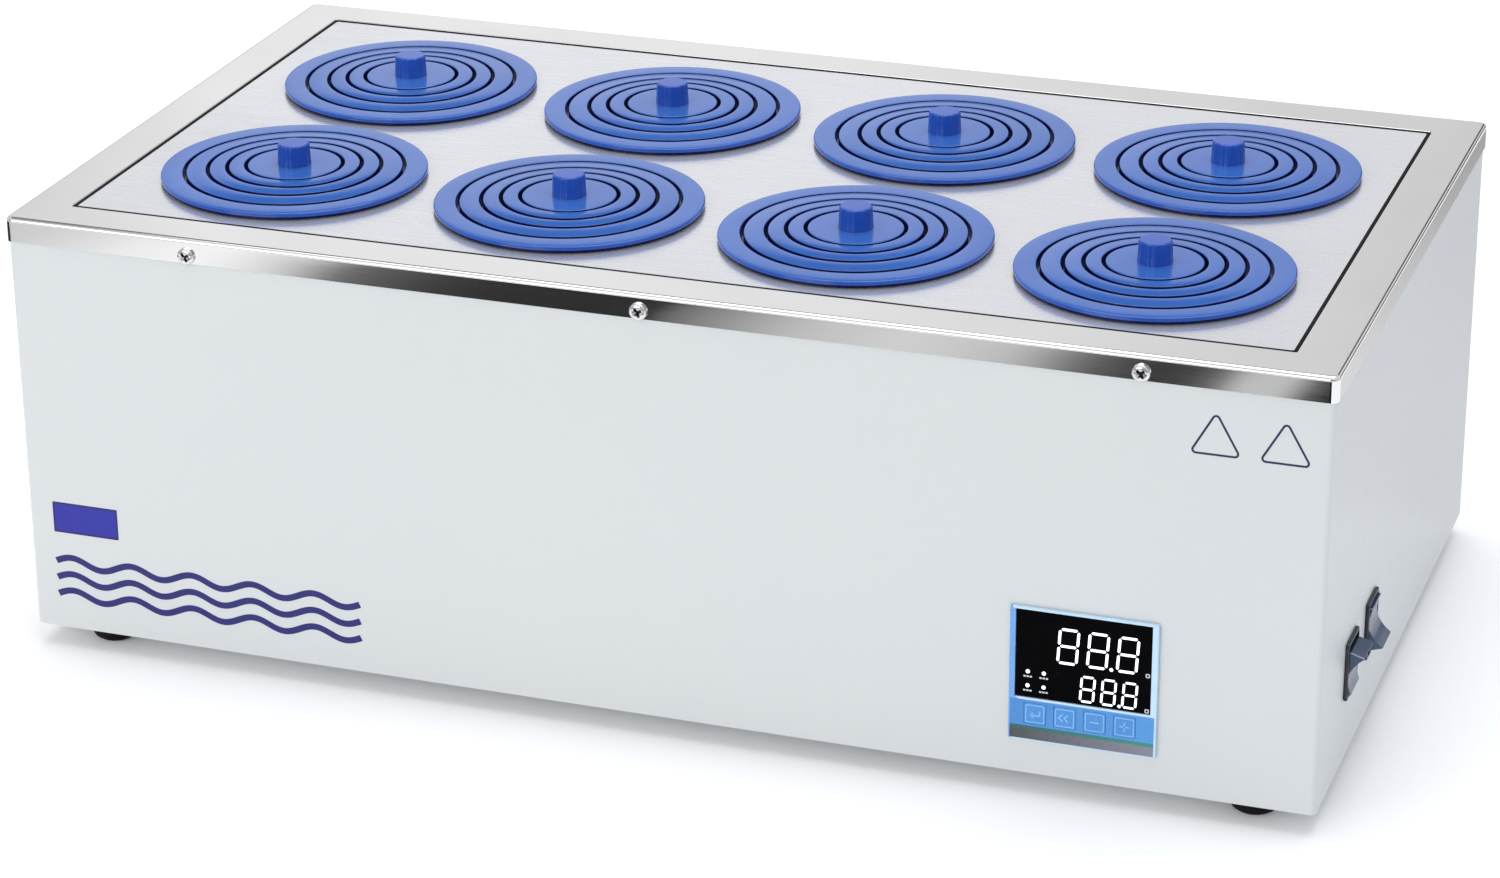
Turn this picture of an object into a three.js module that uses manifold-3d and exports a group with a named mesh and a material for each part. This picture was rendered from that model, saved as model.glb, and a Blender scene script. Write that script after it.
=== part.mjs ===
// Eight-hole laboratory water bath with concentric ring lids.
//
// Millimetres, +Z up, the control side faces -Y. Everything is first placed in the casing frame,
// whose origin is the centre of the casing's underside; the bath group then lifts the whole by
// the foot height and centres its outline over the origin.

import * as THREE from 'three';
import { mergeVertices } from 'three/addons/utils/BufferGeometryUtils.js';
import Module from 'manifold-3d';

const wasm = await Module();
wasm.setup();

// ---------------------------------------------------------------------------------------------
// Driving dimensions
// ---------------------------------------------------------------------------------------------

const GAP = 0.3; // clearance between neighbouring pieces
const SHEET = 1.2; // painted casing steel
const FRAME_SHEET = 0.9; // stainless top frame

const TRIM_W = 700; // outside of the top frame, X
const TRIM_D = 387; // outside of the top frame, Y
const BODY_H = 232; // casing underside to top frame surface
const SKIRT_H = 13.4; // turned-down edge of the top frame
const FRAME_BAND = 26.2; // visible width of the top frame
const FRAME_CORNER_R = 4.5;
const CASE_CORNER_R = 3.2;
const LIP_W = 12; // folded lips of the casing sheets

const COVER_DROP = 0.4; // cover plate surface below the frame surface
const COVER_T = 1.2;
const COVER_GROOVE = 1.8; // open groove between cover plate and frame
const LEDGE_W = 9; // frame ledge that carries the cover plate

const HOLE_COLUMNS = 4;
const HOLE_ROWS = 2;
const HOLE_PITCH = 156;
const HOLE_Y = -8; // middle of the two hole rows
const HOLE_R = 66;
const LID_SEGMENTS = 20;
const LID_R = 70.5;
const LID_RISE = 3.6; // lid rim above the frame surface
const JOINT_RISE = 0.3; // ring joint above the rim: the rings climb towards the cap
const CAP_RISE = 2.65; // cap above the rim
const LID_LIP_W = 3; // step that carries the next smaller ring
const LID_LIP_DROP = 3.4;
const RING_JOINT_R = 58; // outer ring to inner ring set
const CAP_JOINT_R = 25.5; // inner ring set to central cap
const KNOB_R = 9;
const KNOB_H = 11.5;

const TANK_W = 622; // inside of the tank
const TANK_D = 309;
const TANK_DEPTH = 122;
const TANK_WALL = 1;
const TANK_CORNER_R = 18;
const INSULATION_T = 8;

const FOOT_H = 12;
const FOOT_R = 13;
const FOOT_X = 313.8;
const FOOT_Y = 169.3;

const PANEL_X = 230.5; // centre of the temperature controller
const PANEL_Z = 55.5;
const PANEL_W = 75.5;
const PANEL_H = 73;
const PANEL_T = 2;
const PANEL_BODY = 67; // square body behind the casing sheet
const PANEL_DEPTH = 58;
const WINDOW_W = 69.2;
const WINDOW_H = 48;
const WINDOW_TOP = 1.2; // controller top edge to window
const KEY_W = 11.2;
const KEY_H = 11.3;
const KEY_PITCH = 15.2;
const KEY_DROP = 57.6; // controller top edge to key centre

const SWITCH_Y = [-124, -75.4];
const SWITCH_Z = 51.5;
const SWITCH_W = 25; // bezel, along Y
const SWITCH_H = 31.4; // bezel, along Z
const SWITCH_DEPTH = 26;
const SWITCH_BEZEL_T = 1.8;
const SWITCH_BODY_W = 23;
const SWITCH_BODY_H = 29.4;
const SWITCH_WALL = 0.7;
const ROCKER_TILT = THREE.MathUtils.degToRad(16);
const ROCKER_AXIS_DEPTH = 3.7; // hinge axis behind the bezel face

const SCREW_X = [-246, 0, 255];
const SCREW_Z = 222.8;
const SCREW_HEAD_R = 4.5;
const SCREW_HOLE_R = 2.4;

const INLET_X = 262;
const INLET_Z = 62;
const INLET_FLANGE_W = 50;
const INLET_FLANGE_H = 23;
const INLET_BODY_W = 28;
const INLET_BODY_H = 21;
const DRAIN_X = -268;
const DRAIN_Y = 122; // tank outlet
const DRAIN_Z = 62; // pipe through the rear panel
const DRAIN_HOLE_R = 9;

const VENT_X = [-40, 90]; // middles of the two vent banks in the rear panel
const VENT_Z = 30; // lowest slot
const VENT_W = 70;
const VENT_H = 3.5;
const VENT_ROWS = 6;
const VENT_PITCH = 10;
const FLOOR_VENTS = 7;
const FLOOR_VENT_X = -60; // first slot in the base plate
const FLOOR_VENT_W = 5;
const FLOOR_VENT_L = 120;
const FLOOR_VENT_PITCH = 30;

// ---------------------------------------------------------------------------------------------
// Sizes that follow
// ---------------------------------------------------------------------------------------------

const CASE_W = TRIM_W - 2 * (FRAME_SHEET + GAP);
const CASE_D = TRIM_D - 2 * (FRAME_SHEET + GAP);
const CASE_TOP = BODY_H - FRAME_SHEET - GAP;
const FRONT_Y = -CASE_D / 2;
const REAR_Y = CASE_D / 2;
const REAR_FACE_Y = REAR_Y - SHEET - GAP; // outer face of the rear panel
const SIDE_X = CASE_W / 2;

const RECESS_W = TRIM_W - 2 * FRAME_BAND;
const RECESS_D = TRIM_D - 2 * FRAME_BAND;
const COVER_TOP = BODY_H - COVER_DROP;
const LEDGE_TOP = COVER_TOP - COVER_T - GAP;
const LEDGE_BOTTOM = LEDGE_TOP - FRAME_SHEET;

const TANK_RIM = LEDGE_BOTTOM - GAP;
const TANK_FLOOR = TANK_RIM - TANK_DEPTH;
const TANK_BOTTOM = TANK_FLOOR - TANK_WALL;
const INSULATION_BOTTOM = TANK_BOTTOM - GAP - INSULATION_T;

const LID_TOP = BODY_H + LID_RISE;
const JOINT_TOP = LID_TOP + JOINT_RISE;
const CAP_TOP = LID_TOP + CAP_RISE;

const PANEL_TOP = PANEL_Z + PANEL_H / 2;
const PANEL_BACK_Y = FRONT_Y - GAP; // rear face of the controller bezel
const PANEL_FRONT_Y = PANEL_BACK_Y - PANEL_T;
const WINDOW_Z = PANEL_TOP - WINDOW_TOP - WINDOW_H / 2;
const KEY_Z = PANEL_TOP - KEY_DROP;

const SWITCH_FACE_X = SIDE_X + GAP + SWITCH_BEZEL_T;
const ROCKER_AXIS_X = SWITCH_FACE_X - ROCKER_AXIS_DEPTH;
const SWITCH_POCKET_W = SWITCH_BODY_W - 2 * SWITCH_WALL;
const SWITCH_POCKET_H = SWITCH_BODY_H - 2 * SWITCH_WALL - 0.2;

// ---------------------------------------------------------------------------------------------
// Materials
// ---------------------------------------------------------------------------------------------

function material(color, roughness, metalness) {
  return new THREE.MeshStandardMaterial({ color, roughness, metalness });
}

const paint = material(0xdde1de, 0.45, 0.1);
const polishedSteel = material(0xc9cacc, 0.15, 1);
const satinSteel = material(0xced0d3, 0.35, 1);
const bluePlastic = material(0x2a48c4, 0.2, 0);
const blackRubber = material(0x15171a, 0.8, 0);
const blackPlastic = material(0x1c1f24, 0.45, 0);
const rockerPlastic = material(0x4a5264, 0.4, 0);
const bezelPlastic = material(0x8fbce8, 0.4, 0);
const keyPlastic = material(0x5c9fe6, 0.4, 0);
const windowPlastic = material(0x05070c, 0.1, 0);
const zincSteel = material(0xb5b9bd, 0.3, 1);
const brass = material(0xb79a55, 0.35, 1);
const boardGreen = material(0x1f6b3f, 0.5, 0);
const wool = material(0xd9c98f, 0.95, 0);
const siliconeSleeve = material(0xb0402c, 0.6, 0);
const probeSleeve = material(0x8b8f94, 0.6, 0);

// ---------------------------------------------------------------------------------------------
// Shape helpers
// ---------------------------------------------------------------------------------------------

// A closed geometry as a solid for joins and cuts.
function solid(geometry) {
  const bare = geometry.clone();
  bare.deleteAttribute('normal');
  bare.deleteAttribute('uv');
  const merged = mergeVertices(bare, 1e-4);
  const index = merged.index.array;
  const triangles = [];
  for (let i = 0; i < index.length; i += 3) {
    const [a, b, c] = [index[i], index[i + 1], index[i + 2]];
    if (a !== b && b !== c && c !== a) {
      triangles.push(a, b, c);
    }
  }
  const vertProperties = new Float32Array(merged.attributes.position.array);
  const triVerts = new Uint32Array(triangles);
  return new wasm.Manifold(new wasm.Mesh({ numProp: 3, vertProperties, triVerts }));
}

function geometryOf(body) {
  const mesh = body.getMesh();
  const geometry = new THREE.BufferGeometry();
  geometry.setAttribute('position', new THREE.BufferAttribute(mesh.vertProperties, 3));
  geometry.setIndex(new THREE.BufferAttribute(mesh.triVerts, 1));
  geometry.computeVertexNormals();
  return geometry;
}

function join(...geometries) {
  let body = solid(geometries[0]);
  for (const geometry of geometries.slice(1)) {
    body = body.add(solid(geometry));
  }
  return geometryOf(body);
}

function cut(geometry, ...tools) {
  let body = solid(geometry);
  for (const tool of tools) {
    body = body.subtract(solid(tool));
  }
  return geometryOf(body);
}

// Box between two corners.
function block(x0, x1, y0, y1, z0, z1) {
  const geometry = new THREE.BoxGeometry(x1 - x0, y1 - y0, z1 - z0);
  return geometry.translate((x0 + x1) / 2, (y0 + y1) / 2, (z0 + z1) / 2);
}

// Upright slab with a centred outline whose corners are rounded.
function slab(width, depth, radius, z0, z1, arcSteps = 2) {
  const x = width / 2 - radius;
  const y = depth / 2 - radius;
  const outline = new THREE.Shape();
  outline.absarc(x, y, radius, 0, Math.PI / 2);
  outline.absarc(-x, y, radius, Math.PI / 2, Math.PI);
  outline.absarc(-x, -y, radius, Math.PI, Math.PI * 1.5);
  outline.absarc(x, -y, radius, Math.PI * 1.5, Math.PI * 2);
  const options = { depth: z1 - z0, bevelEnabled: false, curveSegments: arcSteps };
  return new THREE.ExtrudeGeometry(outline, options).translate(0, 0, z0);
}

// Round bar between two points.
function rod(from, to, radius, segments = 12) {
  const a = new THREE.Vector3(...from);
  const b = new THREE.Vector3(...to);
  const geometry = new THREE.CylinderGeometry(radius, radius, a.distanceTo(b), segments);
  const direction = b.clone().sub(a).normalize();
  const turn = new THREE.Quaternion().setFromUnitVectors(new THREE.Vector3(0, 1, 0), direction);
  geometry.applyQuaternion(turn);
  const middle = a.add(b).multiplyScalar(0.5);
  return geometry.translate(middle.x, middle.y, middle.z);
}

function ball(x, y, z, radius, segments = 12) {
  return new THREE.SphereGeometry(radius, segments, segments / 2).translate(x, y, z);
}

// Solid of revolution about Z from [radius, z] points, counter-clockwise.
function turned(points, segments) {
  const profile = points.map(([r, z]) => new THREE.Vector2(r, z));
  return new THREE.LatheGeometry(profile, segments).rotateX(Math.PI / 2);
}

// Turned ring: its profile closes on itself.
function turnedRing(points, segments) {
  return turned([...points, points[0]], segments);
}

const bath = new THREE.Group();

function add(name, geometry, look, place = [0, 0, 0], parent = bath) {
  const mesh = new THREE.Mesh(geometry, look);
  mesh.name = name;
  mesh.position.set(...place);
  parent.add(mesh);
  return mesh;
}

// ---------------------------------------------------------------------------------------------
// Casing: a sheet bent round the front and both sides, a rear panel and a base plate
// ---------------------------------------------------------------------------------------------

function casingWrap() {
  const outside = slab(CASE_W, CASE_D, CASE_CORNER_R, 0, CASE_TOP);
  const inside = slab(CASE_W - 2 * SHEET, CASE_D - 2 * SHEET, CASE_CORNER_R - SHEET, -1, BODY_H);
  const openingX = SIDE_X - SHEET - LIP_W;
  const rearOpening = block(-openingX, openingX, REAR_Y - 20, REAR_Y + 20, -1, BODY_H);
  const half = PANEL_BODY / 2 + GAP;
  const panelHole = block(
    PANEL_X - half, PANEL_X + half, FRONT_Y - 5, FRONT_Y + 5, PANEL_Z - half, PANEL_Z + half,
  );
  const switchHalfW = SWITCH_BODY_W / 2 + GAP;
  const switchHalfH = SWITCH_BODY_H / 2 + GAP;
  const switchHoles = SWITCH_Y.map((y) => block(
    SIDE_X - 5, SIDE_X + 5, y - switchHalfW, y + switchHalfW,
    SWITCH_Z - switchHalfH, SWITCH_Z + switchHalfH,
  ));
  const screwHoles = SCREW_X.map((x) => rod(
    [x, FRONT_Y - 5, SCREW_Z], [x, FRONT_Y + 5, SCREW_Z], SCREW_HOLE_R, 8,
  ));
  return cut(outside, inside, rearOpening, panelHole, ...switchHoles, ...screwHoles);
}

// Set in behind the rear lips of the wrap.
function rearPanel() {
  const halfW = SIDE_X - SHEET - 1.6;
  const inside = REAR_Y - 5;
  const outside = REAR_Y + 5;
  const inletHalfW = INLET_BODY_W / 2 + GAP;
  const inletHalfH = INLET_BODY_H / 2 + GAP;
  const sheet = block(-halfW, halfW, REAR_FACE_Y - SHEET, REAR_FACE_Y, 0, CASE_TOP);
  const cuts = [
    block(
      INLET_X - inletHalfW, INLET_X + inletHalfW, inside, outside,
      INLET_Z - inletHalfH, INLET_Z + inletHalfH,
    ),
    rod([DRAIN_X, inside, DRAIN_Z], [DRAIN_X, outside, DRAIN_Z], DRAIN_HOLE_R, 16),
  ];
  for (const x of VENT_X) {
    for (let i = 0; i < VENT_ROWS; i += 1) {
      const z = VENT_Z + i * VENT_PITCH;
      cuts.push(block(x - VENT_W / 2, x + VENT_W / 2, inside, outside, z, z + VENT_H));
    }
  }
  return cut(sheet, ...cuts);
}

function basePlate() {
  const width = CASE_W - 2 * (SHEET + GAP);
  const depth = CASE_D - 3 * (SHEET + GAP);
  const middle = -(SHEET + GAP) / 2;
  const cornerR = 3;
  const tray = slab(width, depth, cornerR, 0, LIP_W);
  const hollow = slab(width - 2 * SHEET, depth - 2 * SHEET, cornerR - SHEET, SHEET, LIP_W + 5);
  tray.translate(0, middle, 0);
  hollow.translate(0, middle, 0);
  const slots = [];
  for (let i = 0; i < FLOOR_VENTS; i += 1) {
    const x = FLOOR_VENT_X + i * FLOOR_VENT_PITCH;
    slots.push(block(x, x + FLOOR_VENT_W, -FLOOR_VENT_L / 2, FLOOR_VENT_L / 2, -5, 5));
  }
  return cut(tray, hollow, ...slots);
}

function foot() {
  const profile = [
    [0, -FOOT_H],
    [8.5, -FOOT_H],
    [11.4, -10.6],
    [FOOT_R, -7.2],
    [FOOT_R, -GAP],
    [0, -GAP],
  ];
  return turned(profile, 20);
}

// ---------------------------------------------------------------------------------------------
// Top frame, cover plate and lids
// ---------------------------------------------------------------------------------------------

function topFrame() {
  const skirtBottom = BODY_H - SKIRT_H;
  const stepW = RECESS_W + 2 * FRAME_SHEET;
  const stepD = RECESS_D + 2 * FRAME_SHEET;
  const outside = slab(TRIM_W, TRIM_D, FRAME_CORNER_R, skirtBottom, BODY_H);
  const insideSkirt = slab(
    TRIM_W - 2 * FRAME_SHEET, TRIM_D - 2 * FRAME_SHEET, FRAME_CORNER_R - FRAME_SHEET,
    skirtBottom - 1, BODY_H - FRAME_SHEET,
  );
  const step = slab(stepW, stepD, 2.4, skirtBottom - 2, BODY_H);
  const hollow = geometryOf(solid(insideSkirt).subtract(solid(step)));
  const underLedge = slab(stepW + 1, stepD + 1, 2.4, skirtBottom - 2, LEDGE_BOTTOM);
  const recess = slab(RECESS_W, RECESS_D, 1.5, LEDGE_TOP, BODY_H + 1);
  const opening = slab(RECESS_W - 2 * LEDGE_W, RECESS_D - 2 * LEDGE_W, 2, skirtBottom, BODY_H + 1);
  const screwHoles = SCREW_X.map((x) => rod(
    [x, -TRIM_D / 2 - 2, SCREW_Z], [x, -TRIM_D / 2 + 4, SCREW_Z], SCREW_HOLE_R, 8,
  ));
  return cut(outside, hollow, underLedge, recess, opening, ...screwHoles);
}

const holes = [];
for (let row = 0; row < HOLE_ROWS; row += 1) {
  for (let column = 0; column < HOLE_COLUMNS; column += 1) {
    const x = (column - (HOLE_COLUMNS - 1) / 2) * HOLE_PITCH;
    const y = HOLE_Y + (row - (HOLE_ROWS - 1) / 2) * HOLE_PITCH;
    holes.push({ number: row * HOLE_COLUMNS + column + 1, x, y });
  }
}

function coverPlate() {
  const width = RECESS_W - 2 * COVER_GROOVE;
  const depth = RECESS_D - 2 * COVER_GROOVE;
  const plate = slab(width, depth, 1.2, COVER_TOP - COVER_T, COVER_TOP, 1);
  const tools = holes.map(({ x, y }) => {
    return rod([x, y, COVER_TOP - 10], [x, y, COVER_TOP + 10], HOLE_R, LID_SEGMENTS);
  });
  return cut(plate, ...tools);
}

const LIP_TOP = LID_TOP - LID_LIP_DROP; // step inside a ring

function lidRingOuter() {
  const skirtR = HOLE_R - 2 * GAP;
  const skirtBottom = COVER_TOP - 6;
  const innerR = RING_JOINT_R - LID_LIP_W;
  return turnedRing([
    [innerR, skirtBottom],
    [skirtR, skirtBottom],
    [skirtR, COVER_TOP + GAP],
    [LID_R, COVER_TOP + GAP],
    [LID_R, LID_TOP],
    [RING_JOINT_R, JOINT_TOP],
    [RING_JOINT_R, LIP_TOP],
    [innerR, LIP_TOP],
  ], LID_SEGMENTS);
}

function lidRingsInner() {
  const bottom = COVER_TOP - 1;
  const outerR = RING_JOINT_R - GAP;
  const innerR = CAP_JOINT_R - LID_LIP_W;
  return turnedRing([
    [innerR, bottom],
    [outerR - LID_LIP_W, bottom],
    [outerR - LID_LIP_W, LIP_TOP + GAP],
    [outerR, LIP_TOP + GAP],
    [outerR, JOINT_TOP],
    [CAP_JOINT_R, CAP_TOP],
    [CAP_JOINT_R, LIP_TOP],
    [innerR, LIP_TOP],
  ], LID_SEGMENTS);
}

function lidCap() {
  const bottom = COVER_TOP - 1;
  const outerR = CAP_JOINT_R - GAP;
  const knobTop = CAP_TOP + KNOB_H;
  return turned([
    [0, bottom],
    [outerR - LID_LIP_W, bottom],
    [outerR - LID_LIP_W, LIP_TOP + GAP],
    [outerR, LIP_TOP + GAP],
    [outerR, CAP_TOP],
    [KNOB_R, CAP_TOP],
    [KNOB_R - 0.5, knobTop - 1.2],
    [KNOB_R - 1.5, knobTop],
    [0, knobTop],
  ], LID_SEGMENTS);
}

// Pan-head screw along +Y; its head's underside is at the origin.
function frameScrew() {
  const head = turned([[0, 0], [SCREW_HEAD_R, 0], [SCREW_HEAD_R, 1], [3.2, 2.3], [0, 2.6]], 16);
  const shank = rod([0, 0, 1], [0, 0, -8], 2, 10);
  return join(head, shank).rotateX(Math.PI / 2);
}

// ---------------------------------------------------------------------------------------------
// Tank and what is in it
// ---------------------------------------------------------------------------------------------

const HEATER_LEG_X = 262;
const HEATER_Y = 32;
const HEATER_Z = TANK_FLOOR + 13;
const HEATER_R = 5;
const HEATER_TURN_X = -250;
const TERMINAL_Z = INSULATION_BOTTOM - 8;
const PROBE_X = 284;
const PROBE_Y = 126;
const PROBE_R = 3;
const PROBE_TIP_Z = TANK_FLOOR + 72;

function tank() {
  const outerW = TANK_W + 2 * TANK_WALL;
  const outerD = TANK_D + 2 * TANK_WALL;
  const shell = slab(outerW, outerD, TANK_CORNER_R + TANK_WALL, TANK_BOTTOM, TANK_RIM);
  const rim = slab(outerW + 18, outerD + 18, 8, TANK_RIM - TANK_WALL, TANK_RIM);
  const inside = slab(TANK_W, TANK_D, TANK_CORNER_R, TANK_FLOOR, BODY_H + 5);
  const floorHoles = [
    [DRAIN_X, DRAIN_Y, 6],
    [HEATER_LEG_X, -HEATER_Y, HEATER_R + GAP],
    [HEATER_LEG_X, HEATER_Y, HEATER_R + GAP],
    [PROBE_X, PROBE_Y, PROBE_R + GAP],
  ];
  const cuts = floorHoles.map(([x, y, radius]) => {
    return rod([x, y, TANK_BOTTOM - 5], [x, y, TANK_FLOOR + 5], radius, 12);
  });
  return cut(join(shell, rim), inside, ...cuts);
}

function tankInsulation() {
  const innerW = TANK_W + 2 * TANK_WALL + 2 * GAP;
  const innerD = TANK_D + 2 * TANK_WALL + 2 * GAP;
  const cornerR = TANK_CORNER_R + TANK_WALL + GAP;
  const outside = slab(
    innerW + 2 * INSULATION_T, innerD + 2 * INSULATION_T, cornerR + INSULATION_T,
    INSULATION_BOTTOM, TANK_RIM - 6,
  );
  const inside = slab(innerW, innerD, cornerR, TANK_BOTTOM - GAP, BODY_H + 5);
  const low = INSULATION_BOTTOM - 5;
  const high = TANK_BOTTOM + 5;
  const bottomHoles = [
    [DRAIN_X, DRAIN_Y, 14],
    [HEATER_LEG_X, HEATER_Y, 10],
    [HEATER_LEG_X, -HEATER_Y, 10],
    [PROBE_X, PROBE_Y, 9],
  ];
  const cuts = bottomHoles.map(([x, y, radius]) => rod([x, y, low], [x, y, high], radius, 12));
  return cut(outside, inside, ...cuts);
}

// Perforated false bottom on folded legs, notched round the probe.
function rack() {
  const halfW = TANK_W / 2 - 5;
  const halfD = TANK_D / 2 - 5;
  const top = TANK_FLOOR + 31;
  const channel = slab(2 * halfW, 2 * halfD, 14, TANK_FLOOR + GAP, top);
  const underside = block(-halfW - 5, halfW + 5, -halfD + 1.2, halfD - 1.2, 0, top - 1.2);
  const notch = block(PROBE_X - 24, halfW + 10, PROBE_Y - 22, halfD + 10, 0, BODY_H);
  const cuts = [underside, notch];
  const slotColumns = 9;
  const slotPitch = 62;
  for (const [y0, y1] of [[-128, -14], [14, 100]]) {
    for (let i = 0; i < slotColumns; i += 1) {
      const x = (i - (slotColumns - 1) / 2) * slotPitch;
      cuts.push(block(x - 12, x + 12, y0, y1, top - 5, top + 5));
    }
  }
  return cut(channel, ...cuts);
}

// Immersion heater: one loop along the floor, both ends down through the tank floor.
function heater() {
  const legs = [-1, 1].flatMap((side) => {
    const y = side * HEATER_Y;
    return [
      rod([HEATER_LEG_X, y, TERMINAL_Z], [HEATER_LEG_X, y, HEATER_Z], HEATER_R, 8),
      ball(HEATER_LEG_X, y, HEATER_Z, HEATER_R, 8),
      rod([HEATER_LEG_X, y, HEATER_Z], [HEATER_TURN_X, y, HEATER_Z], HEATER_R, 8),
      rod([HEATER_LEG_X, y, TANK_FLOOR + GAP], [HEATER_LEG_X, y, TANK_FLOOR + 3], 9),
    ];
  });
  const ends = [-1, 1].map((side) => ball(HEATER_TURN_X, side * HEATER_Y, HEATER_Z, HEATER_R, 8));
  const fullRing = new THREE.TorusGeometry(HEATER_Y, HEATER_R, 8, 20);
  fullRing.translate(HEATER_TURN_X, 0, HEATER_Z);
  const farSide = block(HEATER_TURN_X, HEATER_TURN_X + 60, -60, 60, 0, BODY_H);
  return join(...legs, ...ends, cut(fullRing, farSide));
}

function temperatureProbe() {
  const sheath = rod([PROBE_X, PROBE_Y, TERMINAL_Z], [PROBE_X, PROBE_Y, PROBE_TIP_Z], PROBE_R, 10);
  const tip = ball(PROBE_X, PROBE_Y, PROBE_TIP_Z, PROBE_R, 10);
  const nut = rod([PROBE_X, PROBE_Y, TANK_FLOOR + GAP], [PROBE_X, PROBE_Y, TANK_FLOOR + 5], 7.5, 6);
  return join(sheath, tip, nut);
}

const VALVE_Y = REAR_FACE_Y + 24;
const VALVE_HALF = 11;
const SPOUT_Y = VALVE_Y + 22;
const SPOUT_DROP = 32;
const SPOUT_R = 7;
const SPOUT_BORE_R = 4.8;
const PIPE_R = 8;
const PIPE_NUT_R = 13;

// Pipe from the tank outlet, down and out through the rear panel, to a valve with a hose spout.
function drainValve() {
  const flangeTop = TANK_BOTTOM - GAP;
  const pieces = [
    rod([DRAIN_X, DRAIN_Y, flangeTop - 3], [DRAIN_X, DRAIN_Y, flangeTop], 12),
    rod([DRAIN_X, DRAIN_Y, DRAIN_Z], [DRAIN_X, DRAIN_Y, flangeTop - 1], PIPE_R),
    ball(DRAIN_X, DRAIN_Y, DRAIN_Z, PIPE_R),
    rod([DRAIN_X, DRAIN_Y, DRAIN_Z], [DRAIN_X, VALVE_Y, DRAIN_Z], PIPE_R),
    rod([DRAIN_X, REAR_FACE_Y + GAP, DRAIN_Z], [DRAIN_X, REAR_FACE_Y + 5, DRAIN_Z], PIPE_NUT_R, 6),
    block(
      DRAIN_X - VALVE_HALF, DRAIN_X + VALVE_HALF, VALVE_Y - 12, VALVE_Y + 12,
      DRAIN_Z - VALVE_HALF, DRAIN_Z + VALVE_HALF,
    ),
    rod([DRAIN_X, VALVE_Y, DRAIN_Z], [DRAIN_X, SPOUT_Y, DRAIN_Z], SPOUT_R),
    ball(DRAIN_X, SPOUT_Y, DRAIN_Z, SPOUT_R),
    rod([DRAIN_X, SPOUT_Y, DRAIN_Z], [DRAIN_X, SPOUT_Y, DRAIN_Z - SPOUT_DROP], SPOUT_R),
  ];
  const boreLow = [DRAIN_X, SPOUT_Y, DRAIN_Z - SPOUT_DROP - 8];
  const boreHigh = [DRAIN_X, SPOUT_Y, DRAIN_Z - 8];
  return cut(join(...pieces), rod(boreLow, boreHigh, SPOUT_BORE_R));
}

// Lever whose stem turns about Z on top of the valve; closed, it lies across the pipe.
function drainHandle() {
  const base = DRAIN_Z + VALVE_HALF + GAP;
  const stem = rod([DRAIN_X, VALVE_Y, base], [DRAIN_X, VALVE_Y, base + 8], 6);
  const lever = block(DRAIN_X - 8, DRAIN_X + 52, VALVE_Y - 6, VALVE_Y + 6, base + 5, base + 7.5);
  const grip = block(
    DRAIN_X + 20, DRAIN_X + 56, VALVE_Y - 7.5, VALVE_Y + 7.5, base + 3.5, base + 9,
  );
  return join(stem, lever, grip);
}

// ---------------------------------------------------------------------------------------------
// Temperature controller
// ---------------------------------------------------------------------------------------------

const keyCentres = [0, 1, 2, 3].map((i) => PANEL_X - PANEL_W / 2 + 13.9 + i * KEY_PITCH);

function controllerBezel() {
  const plate = block(
    PANEL_X - PANEL_W / 2, PANEL_X + PANEL_W / 2, PANEL_FRONT_Y, PANEL_BACK_Y,
    PANEL_Z - PANEL_H / 2, PANEL_Z + PANEL_H / 2,
  );
  const windowHole = block(
    PANEL_X - WINDOW_W / 2, PANEL_X + WINDOW_W / 2, PANEL_FRONT_Y - 5, PANEL_BACK_Y + 5,
    WINDOW_Z - WINDOW_H / 2, WINDOW_Z + WINDOW_H / 2,
  );
  const keyHoles = keyCentres.map((x) => block(
    x - KEY_W / 2 - GAP, x + KEY_W / 2 + GAP, PANEL_FRONT_Y - 5, PANEL_BACK_Y + 5,
    KEY_Z - KEY_H / 2 - GAP, KEY_Z + KEY_H / 2 + GAP,
  ));
  return cut(plate, windowHole, ...keyHoles);
}

function controllerHousing() {
  const half = PANEL_BODY / 2;
  const wall = 1.6;
  const front = PANEL_BACK_Y + GAP;
  const back = front + PANEL_DEPTH;
  const outside = block(PANEL_X - half, PANEL_X + half, front, back, PANEL_Z - half, PANEL_Z + half);
  const inside = block(
    PANEL_X - half + wall, PANEL_X + half - wall, front - 5, back - wall,
    PANEL_Z - half + wall, PANEL_Z + half - wall,
  );
  return cut(outside, inside);
}

function displayWindow() {
  return block(
    PANEL_X - WINDOW_W / 2 + GAP, PANEL_X + WINDOW_W / 2 - GAP, PANEL_FRONT_Y + 0.4, PANEL_BACK_Y,
    WINDOW_Z - WINDOW_H / 2 + GAP, WINDOW_Z + WINDOW_H / 2 - GAP,
  );
}

// Circuit board behind the window with its display block, relay and terminal strip.
function controlBoard() {
  const boardY = PANEL_BACK_Y + 14;
  return join(
    block(PANEL_X - 30, PANEL_X + 30, boardY, boardY + 1.6, PANEL_Z - 30, PANEL_Z + 30),
    block(PANEL_X - 28, PANEL_X + 28, boardY - 10, boardY + 1, WINDOW_Z - 20, WINDOW_Z + 18),
    block(PANEL_X - 24, PANEL_X - 4, boardY + 1, boardY + 17, PANEL_Z - 10, PANEL_Z + 6),
    block(PANEL_X - 26, PANEL_X + 26, boardY + 1, boardY + 12, PANEL_Z - 28, PANEL_Z - 18),
  );
}

function key() {
  return block(-KEY_W / 2, KEY_W / 2, 0, PANEL_T, -KEY_H / 2, KEY_H / 2);
}

// ---------------------------------------------------------------------------------------------
// Switches and power inlet
// ---------------------------------------------------------------------------------------------

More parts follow.
